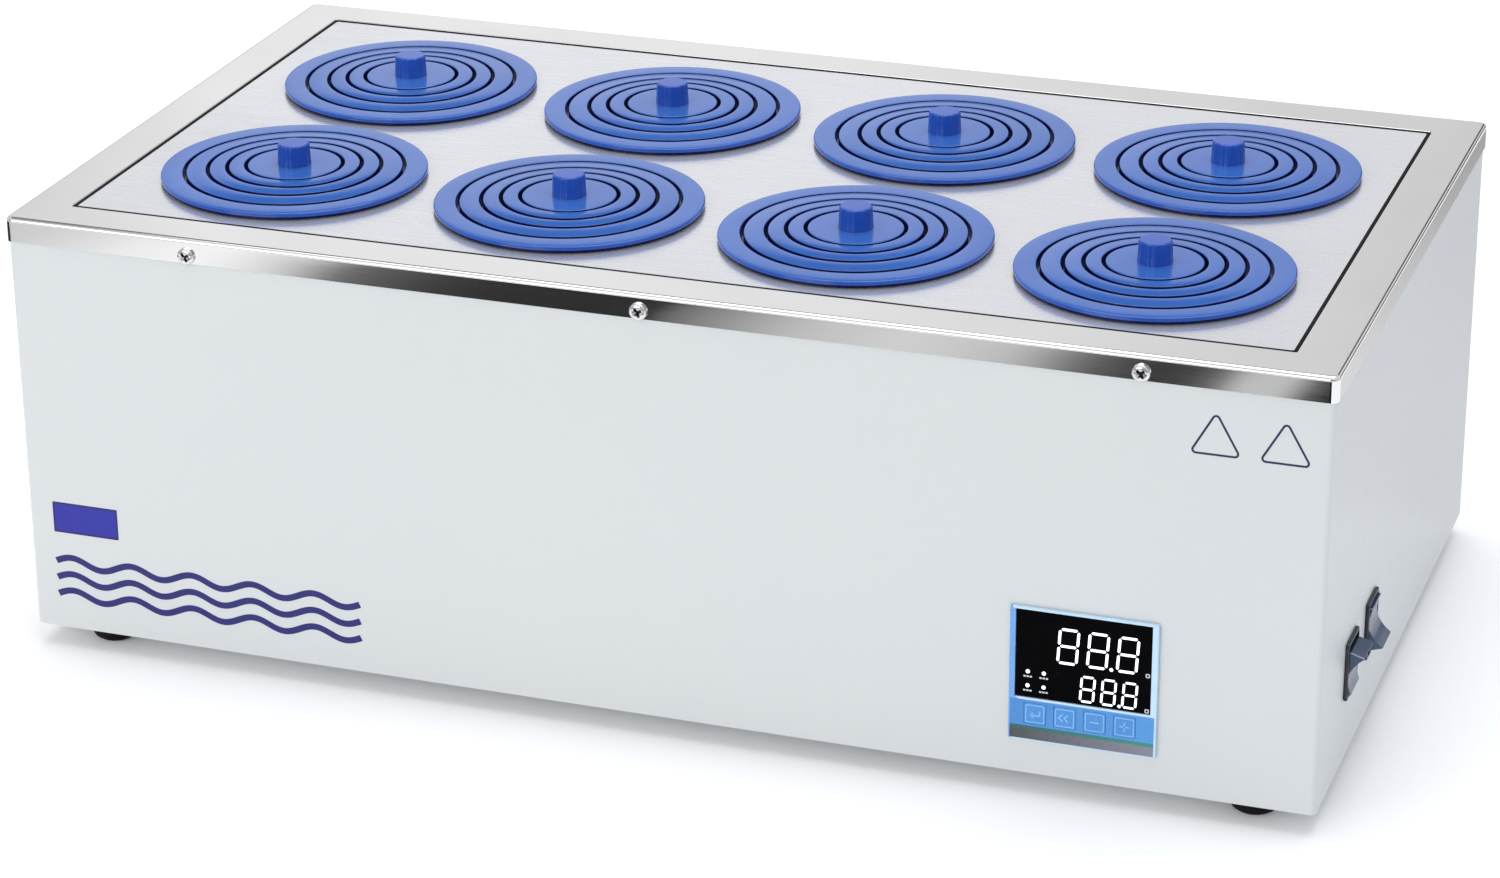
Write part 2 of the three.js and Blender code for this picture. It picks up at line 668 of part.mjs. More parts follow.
// Origin on the casing's outer face at the switch centre, +X outwards.
function switchHousing() {
  const halfW = SWITCH_BODY_W / 2;
  const halfH = SWITCH_BODY_H / 2;
  const pocketW = SWITCH_POCKET_W / 2;
  const pocketH = SWITCH_POCKET_H / 2;
  const bezel = block(
    GAP, GAP + SWITCH_BEZEL_T, -SWITCH_W / 2, SWITCH_W / 2, -SWITCH_H / 2, SWITCH_H / 2,
  );
  const body = block(-SWITCH_DEPTH, GAP + 1, -halfW, halfW, -halfH, halfH);
  const pocket = block(-13.5, 10, -pocketW, pocketW, -pocketH, pocketH);
  const tabs = [-7, 0, 7].map((z) => block(
    -SWITCH_DEPTH - 7, -SWITCH_DEPTH + 1, -3, 3, z - 0.5, z + 0.5,
  ));
  return cut(join(bezel, body, ...tabs), pocket);
}

// Rocker with its hinge axis along Y through the origin, level; the dished face looks along +X.
function rocker() {
  const outline = new THREE.Shape();
  outline.moveTo(8.7, -11.3);
  outline.quadraticCurveTo(-0.3, 0, 8.7, 11.3);
  outline.lineTo(1, 11.5);
  outline.lineTo(-4.5, 5);
  outline.lineTo(-4.5, -5);
  outline.lineTo(1, -11.5);
  const width = SWITCH_POCKET_W - 2 * GAP - 0.2;
  const options = { depth: width, bevelEnabled: false, curveSegments: 8 };
  const geometry = new THREE.ExtrudeGeometry(outline, options);
  return geometry.translate(0, 0, -width / 2).rotateX(Math.PI / 2);
}

// Three-pin appliance inlet, its mouth facing +Y; origin on the rear panel's outer face.
function powerInlet() {
  const flange = slab(INLET_FLANGE_W, INLET_FLANGE_H, 4, GAP, 3);
  const body = slab(INLET_BODY_W, INLET_BODY_H, 4, -24, 1);
  const pocket = slab(24.5, 16.5, 3.5, -17, 8);
  const pinPlaces = [[0, 2.5], [-7, -2], [7, -2]];
  const pins = pinPlaces.map(([x, y]) => block(x - 1, x + 1, y - 2.5, y + 2.5, -18, -5));
  const shell = cut(join(flange, body), pocket);
  return join(shell, ...pins).rotateX(-Math.PI / 2).rotateY(Math.PI);
}

// ---------------------------------------------------------------------------------------------
// Electronics bay below the tank
// ---------------------------------------------------------------------------------------------

const BOARD = { x0: 60, x1: 180, y0: -40, y1: 50, z: 12 };
const RELAY = { x0: -10, x1: 48, y0: -22, y1: 23, height: 22 };

function powerBoard() {
  const { x0, x1, y0, y1, z } = BOARD;
  const pieces = [
    block(x0, x1, y0, y1, z, z + 1.6),
    block(x0 + 8, x0 + 42, y0 + 10, y0 + 40, z + 1, z + 30),
    block(x1 - 30, x1 - 14, y0 + 12, y0 + 34, z + 1, z + 18),
    block(x0 + 10, x1 - 10, y1 - 14, y1 - 4, z + 1, z + 14),
    rod([x0 + 62, y0 + 24, z + 1], [x0 + 62, y0 + 24, z + 24], 8),
  ];
  for (const x of [x0 + 5, x1 - 5]) {
    for (const y of [y0 + 5, y1 - 5]) {
      pieces.push(rod([x, y, SHEET + GAP], [x, y, z + 1], 3.5, 8));
    }
  }
  return join(...pieces);
}

function heaterRelay() {
  const { x0, x1, y0, y1, height } = RELAY;
  const base = SHEET + GAP;
  const middle = (y0 + y1) / 2;
  return join(
    block(x0, x1, y0, y1, base, base + 4),
    block(x0 + 8, x1 - 8, y0, y1, base + 3, base + height),
    rod([x0 + 4, middle + 8, base + 3], [x0 + 4, middle + 8, base + 8], 3, 8),
    rod([x1 - 4, middle - 8, base + 3], [x1 - 4, middle - 8, base + 8], 3, 8),
  );
}

// Insulated lead of the given radius along a smooth route.
function lead(route, radius, steps) {
  const section = new THREE.Shape();
  section.absarc(0, 0, radius, 0, Math.PI * 2);
  const points = route.map((p) => new THREE.Vector3(...p));
  const path = new THREE.CatmullRomCurve3(points, false, 'centripetal');
  const options = { extrudePath: path, steps, curveSegments: 3, bevelEnabled: false };
  return new THREE.ExtrudeGeometry(section, options);
}

function heaterLead() {
  const end = [HEATER_LEG_X, HEATER_Y, TERMINAL_Z - GAP];
  return lead([
    [RELAY.x1 - 4, -7.5, SHEET + GAP + 8 + GAP],
    [RELAY.x1 - 4, -7.5, 24],
    [RELAY.x1 + 4, -4, 50],
    [120, 10, 62],
    [200, 26, 66],
    [250, 32, 68],
    [HEATER_LEG_X, HEATER_Y, 76],
    end,
  ], 2, 20);
}

function probeLead() {
  const start = [PROBE_X, PROBE_Y, TERMINAL_Z - GAP];
  const panelBack = PANEL_BACK_Y + GAP + PANEL_DEPTH + GAP;
  return lead([
    start,
    [PROBE_X, PROBE_Y, 76],
    [PROBE_X - 4, PROBE_Y - 20, 60],
    [PROBE_X - 16, 20, 50],
    [PANEL_X + 20, -80, 52],
    [PANEL_X + 8, panelBack + 14, 55],
    [PANEL_X + 8, panelBack, 55],
  ], 1.6, 20);
}

// ---------------------------------------------------------------------------------------------
// Assembly
// ---------------------------------------------------------------------------------------------

add('casing_wrap', casingWrap(), paint);
add('rear_panel', rearPanel(), paint);
add('base_plate', basePlate(), zincSteel);
add('top_frame', topFrame(), polishedSteel);
add('cover_plate', coverPlate(), satinSteel);

for (const { number, x, y } of holes) {
  add(`lid_ring_outer_${number}`, lidRingOuter(), bluePlastic, [x, y, 0]);
  add(`lid_rings_inner_${number}`, lidRingsInner(), bluePlastic, [x, y, 0]);
  add(`lid_cap_${number}`, lidCap(), bluePlastic, [x, y, 0]);
}

add('tank', tank(), satinSteel);
add('tank_insulation', tankInsulation(), wool);
add('rack', rack(), satinSteel);
add('heater', heater(), polishedSteel);
add('temperature_probe', temperatureProbe(), polishedSteel);
add('drain_valve', drainValve(), brass);
add('drain_handle', drainHandle(), zincSteel);

add('controller_housing', controllerHousing(), blackPlastic);
add('controller_bezel', controllerBezel(), bezelPlastic);
add('display_window', displayWindow(), windowPlastic);
add('control_board', controlBoard(), boardGreen);
keyCentres.forEach((x, i) => {
  add(`key_${i + 1}`, key(), keyPlastic, [x, PANEL_FRONT_Y - 0.2, KEY_Z]);
});

// The front rocker is pressed at its lower end, the rear one at its upper end.
[['front', ROCKER_TILT], ['rear', -ROCKER_TILT]].forEach(([which, tilt], i) => {
  add(`switch_housing_${which}`, switchHousing(), blackPlastic, [SIDE_X, SWITCH_Y[i], SWITCH_Z]);
  const mesh = add(`rocker_${which}`, rocker(), rockerPlastic, [ROCKER_AXIS_X, SWITCH_Y[i], SWITCH_Z]);
  mesh.rotation.y = tilt;
});

add('power_inlet', powerInlet(), blackPlastic, [INLET_X, REAR_FACE_Y, INLET_Z]);
add('power_board', powerBoard(), boardGreen);
add('heater_relay', heaterRelay(), blackPlastic);
add('heater_lead', heaterLead(), siliconeSleeve);
add('probe_lead', probeLead(), probeSleeve);

for (const [side, x] of [['left', -FOOT_X], ['right', FOOT_X]]) {
  for (const [end, y] of [['front', -FOOT_Y], ['rear', FOOT_Y]]) {
    add(`foot_${end}_${side}`, foot(), blackRubber, [x, y, 0]);
  }
}

SCREW_X.forEach((x, i) => {
  add(`frame_screw_${i + 1}`, frameScrew(), zincSteel, [x, -TRIM_D / 2 - GAP, SCREW_Z]);
});

// The origin is the middle of the whole outline at the level of the feet.
bath.updateMatrixWorld(true);
const outline = new THREE.Box3().setFromObject(bath, true);
bath.position.set(-(outline.min.x + outline.max.x) / 2, -(outline.min.y + outline.max.y) / 2, FOOT_H);

const waterBath = new THREE.Group();
waterBath.add(bath);

export default waterBath;
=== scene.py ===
"""Looks of a laboratory water bath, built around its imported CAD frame.

Metres, +Z up, front at -Y. Tables marked so are in millimetres.
"""
import math

import bmesh
import bpy
from mathutils import Matrix, Vector


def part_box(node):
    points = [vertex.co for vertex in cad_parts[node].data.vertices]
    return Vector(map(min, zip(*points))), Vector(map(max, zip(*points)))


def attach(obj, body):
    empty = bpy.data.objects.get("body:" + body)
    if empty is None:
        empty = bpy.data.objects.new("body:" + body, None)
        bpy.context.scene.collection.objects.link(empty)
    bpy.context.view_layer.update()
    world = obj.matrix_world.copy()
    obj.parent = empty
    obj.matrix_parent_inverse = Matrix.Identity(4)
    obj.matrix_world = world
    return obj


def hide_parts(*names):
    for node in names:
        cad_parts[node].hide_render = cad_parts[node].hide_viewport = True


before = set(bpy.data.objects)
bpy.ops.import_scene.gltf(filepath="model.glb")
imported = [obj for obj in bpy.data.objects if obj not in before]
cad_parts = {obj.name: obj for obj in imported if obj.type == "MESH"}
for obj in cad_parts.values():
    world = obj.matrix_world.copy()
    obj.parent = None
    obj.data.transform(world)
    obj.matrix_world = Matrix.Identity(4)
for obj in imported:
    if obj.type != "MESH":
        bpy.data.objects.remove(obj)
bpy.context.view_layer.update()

MM = 0.001
PI = math.pi

# --- Places taken from the frame ---


class Box:
    """The box of a CAD node at rest. centre is its middle in double precision."""

    def __init__(self, node):
        self.low, self.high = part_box(node)
        self.middle = (self.low + self.high) / 2
        halves = [(high - low) / 2 for low, high in zip(self.low, self.high)]
        self.half_x, self.half_y, self.half_z = halves
        self.centre = [(low + high) / 2 for low, high in zip(self.low, self.high)]


TRIM = Box("top_frame")
CASE = Box("casing_wrap")
COVER = Box("cover_plate")
PANEL = Box("controller_bezel")
MIDDLE = TRIM.middle
CASE_FLOOR = CASE.low.z
FRONT_Y = CASE.low.y
RIGHT_X = CASE.high.x
TRIM_TOP = TRIM.high.z
COVER_TOP = COVER.high.z
LIDS = range(1, 9)
KEYS = range(1, 5)
FRAME_SCREWS = (1, 2, 3)

# --- Mesh helpers ---
# A part is a pair of lists, (verts, faces). A loop is a list of points round a section.


def add_object(name, data):
    obj = bpy.data.objects.new(name, data)
    bpy.context.scene.collection.objects.link(obj)
    return obj


def new_mesh(name, part, weld=0.0):
    """A mesh of a part with its faces turned outwards."""
    mesh = bpy.data.meshes.new(name)
    mesh.from_pydata([tuple(v) for v in part[0]], [], part[1])
    work = bmesh.new()
    work.from_mesh(mesh)
    if weld:
        bmesh.ops.remove_doubles(work, verts=work.verts, dist=weld)
    bmesh.ops.recalc_face_normals(work, faces=work.faces)
    work.to_mesh(mesh)
    work.free()
    return mesh


def shade_smooth(obj, angle):
    """Edges sharper than angle stay sharp, and flat faces stay flat beside their rounded edges."""
    obj.data.shade_smooth()
    obj.data.set_sharp_from_angle(angle=math.radians(angle))
    modifier = obj.modifiers.new("normals", "WEIGHTED_NORMAL")
    modifier.mode = "FACE_AREA"
    modifier.weight = 50
    modifier.keep_sharp = True


def piece(name, part, materials, stands_for="", angle=40, body="casing"):
    """A visible piece that rides on a CAD body and may stand for a CAD node."""
    mesh = new_mesh(name, part, 1e-7)
    for material in materials if isinstance(materials, list) else [materials]:
        mesh.materials.append(material)
    obj = add_object(name, mesh)
    shade_smooth(obj, angle)
    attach(obj, body)
    if stands_for:
        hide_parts(stands_for)
    return obj


def cut(obj, *tools):
    """Cuts parts out of a piece."""
    obj.modifiers.clear()
    for i, part in enumerate(tools):
        tool = add_object(f"tool_{i}", new_mesh(f"tool_{i}", part))
        modifier = obj.modifiers.new("cut", "BOOLEAN")
        modifier.operation = "DIFFERENCE"
        modifier.solver = "EXACT"
        modifier.object = tool
        bpy.context.view_layer.update()
        graph = bpy.context.evaluated_depsgraph_get()
        result = bpy.data.meshes.new_from_object(obj.evaluated_get(graph))
        obj.modifiers.clear()
        obj.data = result
        bpy.data.objects.remove(tool)
    shade_smooth(obj, 35)


def merge(*parts):
    verts, faces = [], []
    for part_verts, part_faces in parts:
        shift = len(verts)
        verts += list(part_verts)
        faces += [tuple(i + shift for i in face) for face in part_faces]
    return verts, faces


def moved(part, offset):
    offset = Vector(offset)
    return [Vector(v) + offset for v in part[0]], part[1]


def turned(part, angle, axis, about=(0, 0, 0)):
    about = Vector(about)
    turn = Matrix.Rotation(angle, 3, axis)
    return [turn @ (Vector(v) - about) + about for v in part[0]], part[1]


def swapped(part, order):
    """The part with its axes renamed, such as "xzy" for one that was built lying down."""
    return [Vector([getattr(v, axis) for axis in order]) for v in part[0]], part[1]


def loft(loops, closed=False):
    """Skin over loops of equal length; closed joins the last to the first, otherwise both get caps."""
    size = len(loops[0])
    verts = [v for loop in loops for v in loop]
    faces = []
    for i in range(len(loops) if closed else len(loops) - 1):
        a = i * size
        b = (i + 1) % len(loops) * size
        for k in range(size):
            n = (k + 1) % size
            faces.append((a + k, a + n, b + n, b + k))
    if not closed:
        faces.append(tuple(range(size))[::-1])
        faces.append(tuple(range(len(verts) - size, len(verts))))
    return verts, faces


def around(centre, radius, segments):
    """Points (x, y) on a circle."""
    step = 2 * PI / segments
    return [(centre[0] + radius * math.cos(i * step), centre[1] + radius * math.sin(i * step))
            for i in range(segments)]


def circle(radius, z, segments, centre=(0, 0)):
    return [Vector((x, y, z)) for x, y in around(centre, radius, segments)]


def bore(radius, low, high, segments, centre=(0, 0)):
    return loft([circle(radius, z, segments, centre) for z in (low, high)])


def lathe(profile, segments=96, centre=(0, 0), closed=False):
    """Solid of revolution about Z; profile holds (radius, z)."""
    return loft([circle(max(r, 1e-5), z, segments, centre) for r, z in profile], closed)


def mm(*points):
    """Points given in millimetres."""
    return [tuple(c * MM for c in point) for point in points]


def quarter(steps):
    """Angles from 0 to a right angle."""
    return [i / steps * PI / 2 for i in range(steps + 1)]


def fillet(points, radius, steps=4, closed=True):
    """The polyline with its corners rounded. radius is one number or one for each point."""
    count = len(points)
    radii = radius if isinstance(radius, list) else [radius] * count
    result = []
    for i, point in enumerate(points):
        here = Vector(point)
        back = Vector(points[i - 1]) - here
        ahead = Vector(points[(i + 1) % count]) - here
        open_end = not closed and i in (0, count - 1)
        turn = PI if radii[i] <= 0 or open_end else back.angle(ahead)
        if turn > PI - 1e-3:
            result.append(here)
            continue
        reach = min(radii[i] / math.tan(turn / 2), back.length * 0.49, ahead.length * 0.49)
        bend = reach * math.tan(turn / 2)
        towards = (back.normalized() + ahead.normalized()).normalized()
        middle = here + towards * bend / math.sin(turn / 2)
        start = (here + back.normalized() * reach - middle).normalized()
        end = (here + ahead.normalized() * reach - middle).normalized()
        result += [middle + start.slerp(end, k / steps) * bend for k in range(steps + 1)]
    return result


def ring_profile(points, radii, steps=3):
    """A closed (radius, z) outline in millimetres with rounded corners, in metres."""
    flat = [Vector((r, z, 0)) for r, z in points]
    return [(p.x * MM, p.y * MM) for p in fillet(flat, radii, steps)]


def rounded_rect(half_x, half_y, radius, z, steps=6, centre=(0, 0)):
    """A loop round a rectangle with rounded corners."""
    radius = min(radius, half_x, half_y)
    loop = []
    for corner, (side_x, side_y) in enumerate(((1, 1), (-1, 1), (-1, -1), (1, -1))):
        x = centre[0] + side_x * (half_x - radius)
        y = centre[1] + side_y * (half_y - radius)
        for i in range(steps + 1):
            angle = (corner + i / steps) * PI / 2
            loop.append(Vector((x, y, z)) + Vector((math.cos(angle), math.sin(angle), 0)) * radius)
    return loop


def rounded_stack(half_x, half_y, radius, levels, steps, centre):
    """Loops round rectangles; levels hold how far each is set in, and its height."""
    return [rounded_rect(half_x - inset, half_y - inset, radius, z, steps, centre)
            for inset, z in levels]


def soft_rims(low, high, edge):
    """Levels of a slab whose lower and upper rims are rounded by edge."""
    return ((edge, low), (edge * 0.3, low + edge * 0.3), (0, low + edge),
            (0, high - edge), (edge * 0.3, high - edge * 0.3), (edge, high))


def slab(half_x, half_y, radius, low, high, edge, centre=(0, 0), steps=6):
    """A flat slab with rounded corners and rims; sizes in millimetres, centre in metres."""
    half_x, half_y, radius, low, high, edge = mm((half_x, half_y, radius, low, high, edge))[0]
    return loft([
        rounded_rect(half_x - inset, half_y - inset, max(radius - inset, 0.1 * MM), z, steps, centre)
        for inset, z in soft_rims(low, high, edge)
    ])


def block(low, high, bevel=0.0, steps=3):
    """A box between two corners with rounded edges."""
    low, high = Vector(low), Vector(high)
    size = high - low
    work = bmesh.new()
    bmesh.ops.create_cube(work, size=1)
    for v in work.verts:
        v.co = Vector([a * b for a, b in zip(v.co, size)]) + (low + high) / 2
    if bevel:
        bmesh.ops.bevel(work, geom=work.edges[:], offset=bevel, segments=steps, affect="EDGES",
                        profile=0.5)
    verts = [v.co.copy() for v in work.verts]
    faces = [tuple(v.index for v in f.verts) for f in work.faces]
    work.free()
    return verts, faces


def tube(points, radius, sides, bend, steps):
    """A round bar along a polyline whose corners are bent to the radius bend."""
    path = fillet(points, bend, steps, closed=False)
    side = None
    loops = []
    for i, point in enumerate(path):
        along = (path[min(i + 1, len(path) - 1)] - path[max(i - 1, 0)]).normalized()
        if side is None:
            side = along.orthogonal().normalized()
        side = (side - along * side.dot(along)).normalized()
        across = along.cross(side)
        loops.append([point + (side * x + across * y) * radius for x, y in around((0, 0), 1, sides)])
    return loft(loops)


# --- Materials ---


class Nodes:
    """Builds a node tree. An input gets a constant, or the socket that feeds it."""

    def __init__(self, owner):
        owner.use_nodes = True
        self.tree = owner.node_tree

    def feed(self, node, inputs):
        for key, value in inputs.items():
            if isinstance(value, bpy.types.NodeSocket):
                self.tree.links.new(value, node.inputs[key])
            else:
                node.inputs[key].default_value = value

    def add(self, kind, inputs, output=0, **settings):
        """An output of a new node."""
        node = self.tree.nodes.new("ShaderNode" + kind)
        for key, value in settings.items():
            setattr(node, key, value)
        self.feed(node, inputs)
        return node.outputs[output]

    def math(self, operation, *values):
        return self.add("Math", dict(enumerate(values)), operation=operation)

    def axes(self, space="Object"):
        """X, Y and Z of a point on the surface, or of a ray in the world."""
        return self.add("SeparateXYZ", {"Vector": self.add("TexCoord", {}, space)}).node.outputs

    def spread(self, source, low, high, start=0.3, end=0.7):
        """The source's range start to end stretched over low to high."""
        limits = {"From Min": start, "From Max": end, "To Min": low, "To Max": high}
        return self.add("MapRange", {"Value": source, **limits})

    def ramp(self, source, stops, low, high):
        """A colour ramp over low to high; stops are (place, grey or colour)."""
        share = self.add("MapRange", {"Value": source, "From Min": low, "From Max": high})
        output = self.add("ValToRGB", {"Fac": share}, "Color")
        elements = output.node.color_ramp.elements
        elements.remove(elements[1])
        for i, (place, colour) in enumerate(stops):
            at = (place - low) / (high - low)
            element = elements.new(at) if i else elements[0]
            element.position = at
            element.color = (*colour, 1) if isinstance(colour, tuple) else (colour, colour, colour, 1)
        return output


class Look(Nodes):
    """A material that is built up step by step."""

    def __init__(self, name, colour, roughness, metallic=0.0, **sockets):
        self.material = bpy.data.materials.new(name)
        super().__init__(self.material)
        self.shader = self.tree.nodes["Principled BSDF"]
        self.colour = colour
        self.noises = {}
        self.normal = None
        self.set({"Base Color": (*colour, 1), "Roughness": roughness, "Metallic": metallic})
        self.set({socket.replace("_", " "): value for socket, value in sockets.items()})

    def set(self, inputs):
        self.feed(self.shader, inputs)

    def noise(self, scale, detail=2.0, stretch=(1, 1, 1)):
        key = (scale, detail, stretch)
        if key not in self.noises:
            place = self.add("TexCoord", {}, "Object")
            place = self.add("Mapping", {"Vector": place, "Scale": stretch})
            inputs = {"Vector": place, "Scale": scale, "Detail": detail}
            self.noises[key] = self.add("TexNoise", inputs, "Fac")
        return self.noises[key]

    def vary_colour(self, source, other, start=0.3, end=0.7):
        """The base colour runs to the other one where the source is high."""
        share = self.spread(source, 0, 1, start, end)
        inputs = {"Factor": share, "A": (*self.colour, 1), "B": (*other, 1)}
        self.set({"Base Color": self.add("Mix", inputs, "Result", data_type="RGBA")})

    def vary_roughness(self, source, low, high):
        self.set({"Roughness": self.spread(source, low, high)})

    def raise_by(self, source, height):
        """A bump of the given height in millimetres, added to the earlier ones."""
        inputs = {"Distance": height * MM, "Strength": 1.0, "Height": source}
        if self.normal:
            inputs["Normal"] = self.normal
        self.normal = self.add("Bump", inputs, "Normal")
        self.set({"Normal": self.normal})

    def dress(self, gloss=None, mottle=None, bumps=()):
        """gloss: a noise and its roughness range. mottle: a noise and its colour, perhaps with its
        range. bumps: noises and heights. A noise is the arguments of noise()."""
        if mottle:
            self.vary_colour(self.noise(*mottle[0]), *mottle[1:])
        if gloss:
            self.vary_roughness(self.noise(*gloss[0]), *gloss[1:])
        for noise, height in bumps:
            self.raise_by(self.noise(*noise), height)
        return self.material


def dimmed(colour, share):
    return tuple(c * share for c in colour)


def powder_coat():
    look = Look("powder_coat", (0.645, 0.665, 0.665), 0.42, Coat_Weight=0.1, Coat_Roughness=0.2)
    return look.dress(((300,), 0.36, 0.46), ((5, 3), (0.635, 0.657, 0.66)),
                      (((900, 3), 0.02), ((9, 1), 0.12)))


def polished_frame():
    """Polished stainless with a fine grain along each side, mitred at the corners."""
    look = Look("polished_frame", (0.8, 0.8, 0.81), 0.2, 1.0)
    place = look.axes()

    def from_edge(axis, half):
        from_middle = look.math("ABSOLUTE", look.math("SUBTRACT", place[axis], MIDDLE[axis]))
        return look.math("SUBTRACT", half, from_middle)

    on_end = look.math("LESS_THAN", from_edge(0, TRIM.half_x), from_edge(1, TRIM.half_y))
    grains = {"A": look.noise(2600, 2, (0.012, 1, 1)), "B": look.noise(2600, 2, (1, 0.012, 1))}
    grain = look.add("Mix", {"Factor": on_end, **grains}, "Result", data_type="FLOAT")
    cloud = look.noise(14)
    gloss = look.math("ADD", look.spread(grain, -0.015, 0.03), look.spread(cloud, 0.05, 0.08))
    look.set({"Roughness": gloss})
    look.vary_colour(cloud, (0.76, 0.76, 0.77))
    look.raise_by(grain, 0.0006)
    return look.dress(bumps=(((6, 1), 0.1),))


def satin_steel(name, colour, roughness, stretch, metallic=1.0):
    grain = (2400, 2, stretch)
    return Look(name, colour, roughness, metallic).dress(
        (grain, roughness - 0.04, roughness + 0.06), ((7,), dimmed(colour, 0.94)),
        ((grain, 0.002), ((5, 1), 0.2)))


def lid_plastic(name, colour, other, **sockets):
    return Look(name, colour, 0.12, IOR=1.5, **sockets).dress(
        ((120, 3), 0.1, 0.17), ((18, 3), other), (((55,), 0.03), ((1500,), 0.003)))


def moulded(name, colour, roughness, grain=700, height=0.02, **sockets):
    """Moulded plastic or rubber with a fine spark grain."""
    lighter = tuple(min(1, c * 1.18 + 0.003) for c in colour)
    return Look(name, colour, roughness, **sockets).dress(
        ((80,), roughness - 0.05, roughness + 0.06), ((30, 3), lighter), (((grain,), height),))


def plated(name, colour, roughness):
    return Look(name, colour, roughness, 1.0).dress(
        ((400,), roughness - 0.05, roughness + 0.08), ((60, 3), dimmed(colour, 0.9)), (((300,), 0.01),))


def film(name, colour, roughness=0.3, right=None):
    """Printed film with a faint mottle, or running to another colour at the panel's right end."""
    look = Look(name, colour, roughness)
    if right:
        look.vary_colour(look.axes()["X"], right, PANEL.low.x, PANEL.high.x)
    mottle = None if right else ((90,), dimmed(colour, 0.93))
    return look.dress(((500, 1), roughness - 0.04, roughness + 0.05), mottle, (((1200, 1), 0.003),))


def lit(name, colour, strength):
    look = Look(name, colour, 0.4, Emission_Strength=strength, Emission_Color=(*colour, 1))
    return look.dress(((300,), 0.35, 0.45))


PAINT = powder_coat()
FRAME_STEEL = polished_frame()
COVER_STEEL = satin_steel("cover_steel", (0.86, 0.87, 0.91), 0.24, (0.015, 1, 1), 0.75)
TANK_STEEL = satin_steel("tank_steel", (0.72, 0.73, 0.75), 0.32, (0.02, 1, 1))
HEATER_STEEL = plated("heater_steel", (0.7, 0.69, 0.68), 0.22)
ZINC = plated("zinc_plate", (0.66, 0.68, 0.7), 0.38)
SCREW_STEEL = plated("screw_steel", (0.76, 0.76, 0.77), 0.18)
# Painted shade: a near-black for the faces inside a screw's cross recess
SCREW_RECESS_SHADE = plated("screw_recess_shade", (0.06, 0.06, 0.065), 0.5)
BRASS = plated("nickelled_brass", (0.72, 0.66, 0.52), 0.24)
LID_BLUE = lid_plastic("lid_plastic", (0.03, 0.11, 0.41), (0.036, 0.125, 0.45))
# Painted shade: a near-black blue for the lid grooves and the rim's undercut
LID_GROOVE_SHADE = lid_plastic("lid_groove_shade", (0.002, 0.005, 0.06), (0.003, 0.008, 0.085),
                         Specular_IOR_Level=0.12)
# The knob's own blue, also painted on the lid rim's face as a deeper blue that stands in for a dark
# reflection
KNOB_BLUE_AND_RIM_SHADE = lid_plastic("lid_knob_and_rim_shade", (0.01, 0.068, 0.4), (0.014, 0.085, 0.44))
RUBBER = moulded("foot_rubber", (0.003, 0.003, 0.0035), 0.75, 900, 0.03, Specular_IOR_Level=0.2)
BLACK = moulded("black_plastic", (0.008, 0.009, 0.012), 0.2)
ROCKER = moulded("rocker_plastic", (0.06, 0.085, 0.15), 0.2, IOR=1.55)
# Painted highlight: a pale blue-grey for the rocker's bevelled edges
ROCKER_EDGE_HIGHLIGHT = moulded("rocker_edge_highlight", (0.3, 0.36, 0.46), 0.25, IOR=1.55)
RELAY = moulded("relay_plastic", (0.6, 0.59, 0.55), 0.45)
LEVER_BLUE = moulded("lever_sleeve", (0.02, 0.06, 0.3), 0.4, 500, 0.03)
SILICONE = moulded("heater_sleeve", (0.42, 0.05, 0.03), 0.55, 1200, 0.02)
PROBE_GREY = moulded("probe_sleeve", (0.2, 0.21, 0.22), 0.55, 1200, 0.02)
BEZEL_PALE = film("bezel_pale", (0.56, 0.76, 0.92))
BEZEL_BLUE = film("bezel_blue", (0.17, 0.38, 0.78))
STRIP_BLUE = film("strip_blue", (0.06, 0.24, 0.62), right=(0.075, 0.3, 0.68))
KEY_BLUE = film("key_blue", (0.07, 0.27, 0.66))
KEY_LINE = film("key_line", (0.2, 0.52, 0.88))
BAND_GREEN = film("band_green", (0.02, 0.1, 0.09), right=(0.03, 0.26, 0.2))
BAND_GREY = film("band_grey", (0.05, 0.06, 0.065), right=(0.23, 0.23, 0.29))
INK_BLUE = film("ink_blue", (0.005, 0.005, 0.15), 0.35)
INK_BADGE = film("ink_badge", (0.01, 0.012, 0.33), 0.35)
INK_EDGE = film("ink_edge", (0.008, 0.008, 0.12), 0.35)
INK_DARK = film("ink_dark", (0.02, 0.022, 0.08), 0.4)
DIGIT_WHITE = lit("digit_white", (0.95, 0.97, 1.0), 1.1)
# Grey caption print with a faint painted glow; the captions are no lamps
CAPTION_PAINTED_GLOW = lit("caption_grey_painted_glow", (0.5, 0.52, 0.55), 0.25)
WINDOW = Look("window_acrylic", (0.0004, 0.0004, 0.0008), 0.1, Specular_IOR_Level=0.03).dress(
    ((200,), 0.08, 0.12), ((60,), (0.0008, 0.0008, 0.0012)), (((700,), 0.002),))
CIRCUITS = (220, 3, (1, 0.3, 1))
BOARD = Look("circuit_board", (0.02, 0.16, 0.07), 0.35, Coat_Weight=0.4, Coat_Roughness=0.1).dress(
    mottle=(CIRCUITS, (0.03, 0.24, 0.1), 0.45, 0.55), bumps=((CIRCUITS, 0.03),))
WOOL = Look("wool", (0.72, 0.6, 0.25), 0.95, Sheen_Weight=0.3).dress(
    mottle=((90, 5, (1, 0.3, 1)), (0.55, 0.43, 0.16)), bumps=(((140, 5, (1, 0.3, 1)), 0.8),))

# --- Camera ---

CAMERA_AZIMUTH = math.radians(19.25)
CAMERA_ELEVATION = math.radians(23.17)
CAMERA_ROLL = math.radians(-0.39)
CAMERA_PLACE = Vector((0.7076, -2.0542, 1.0056))  # from the middle of the casing's underside
CAMERA_LENS = 104.1


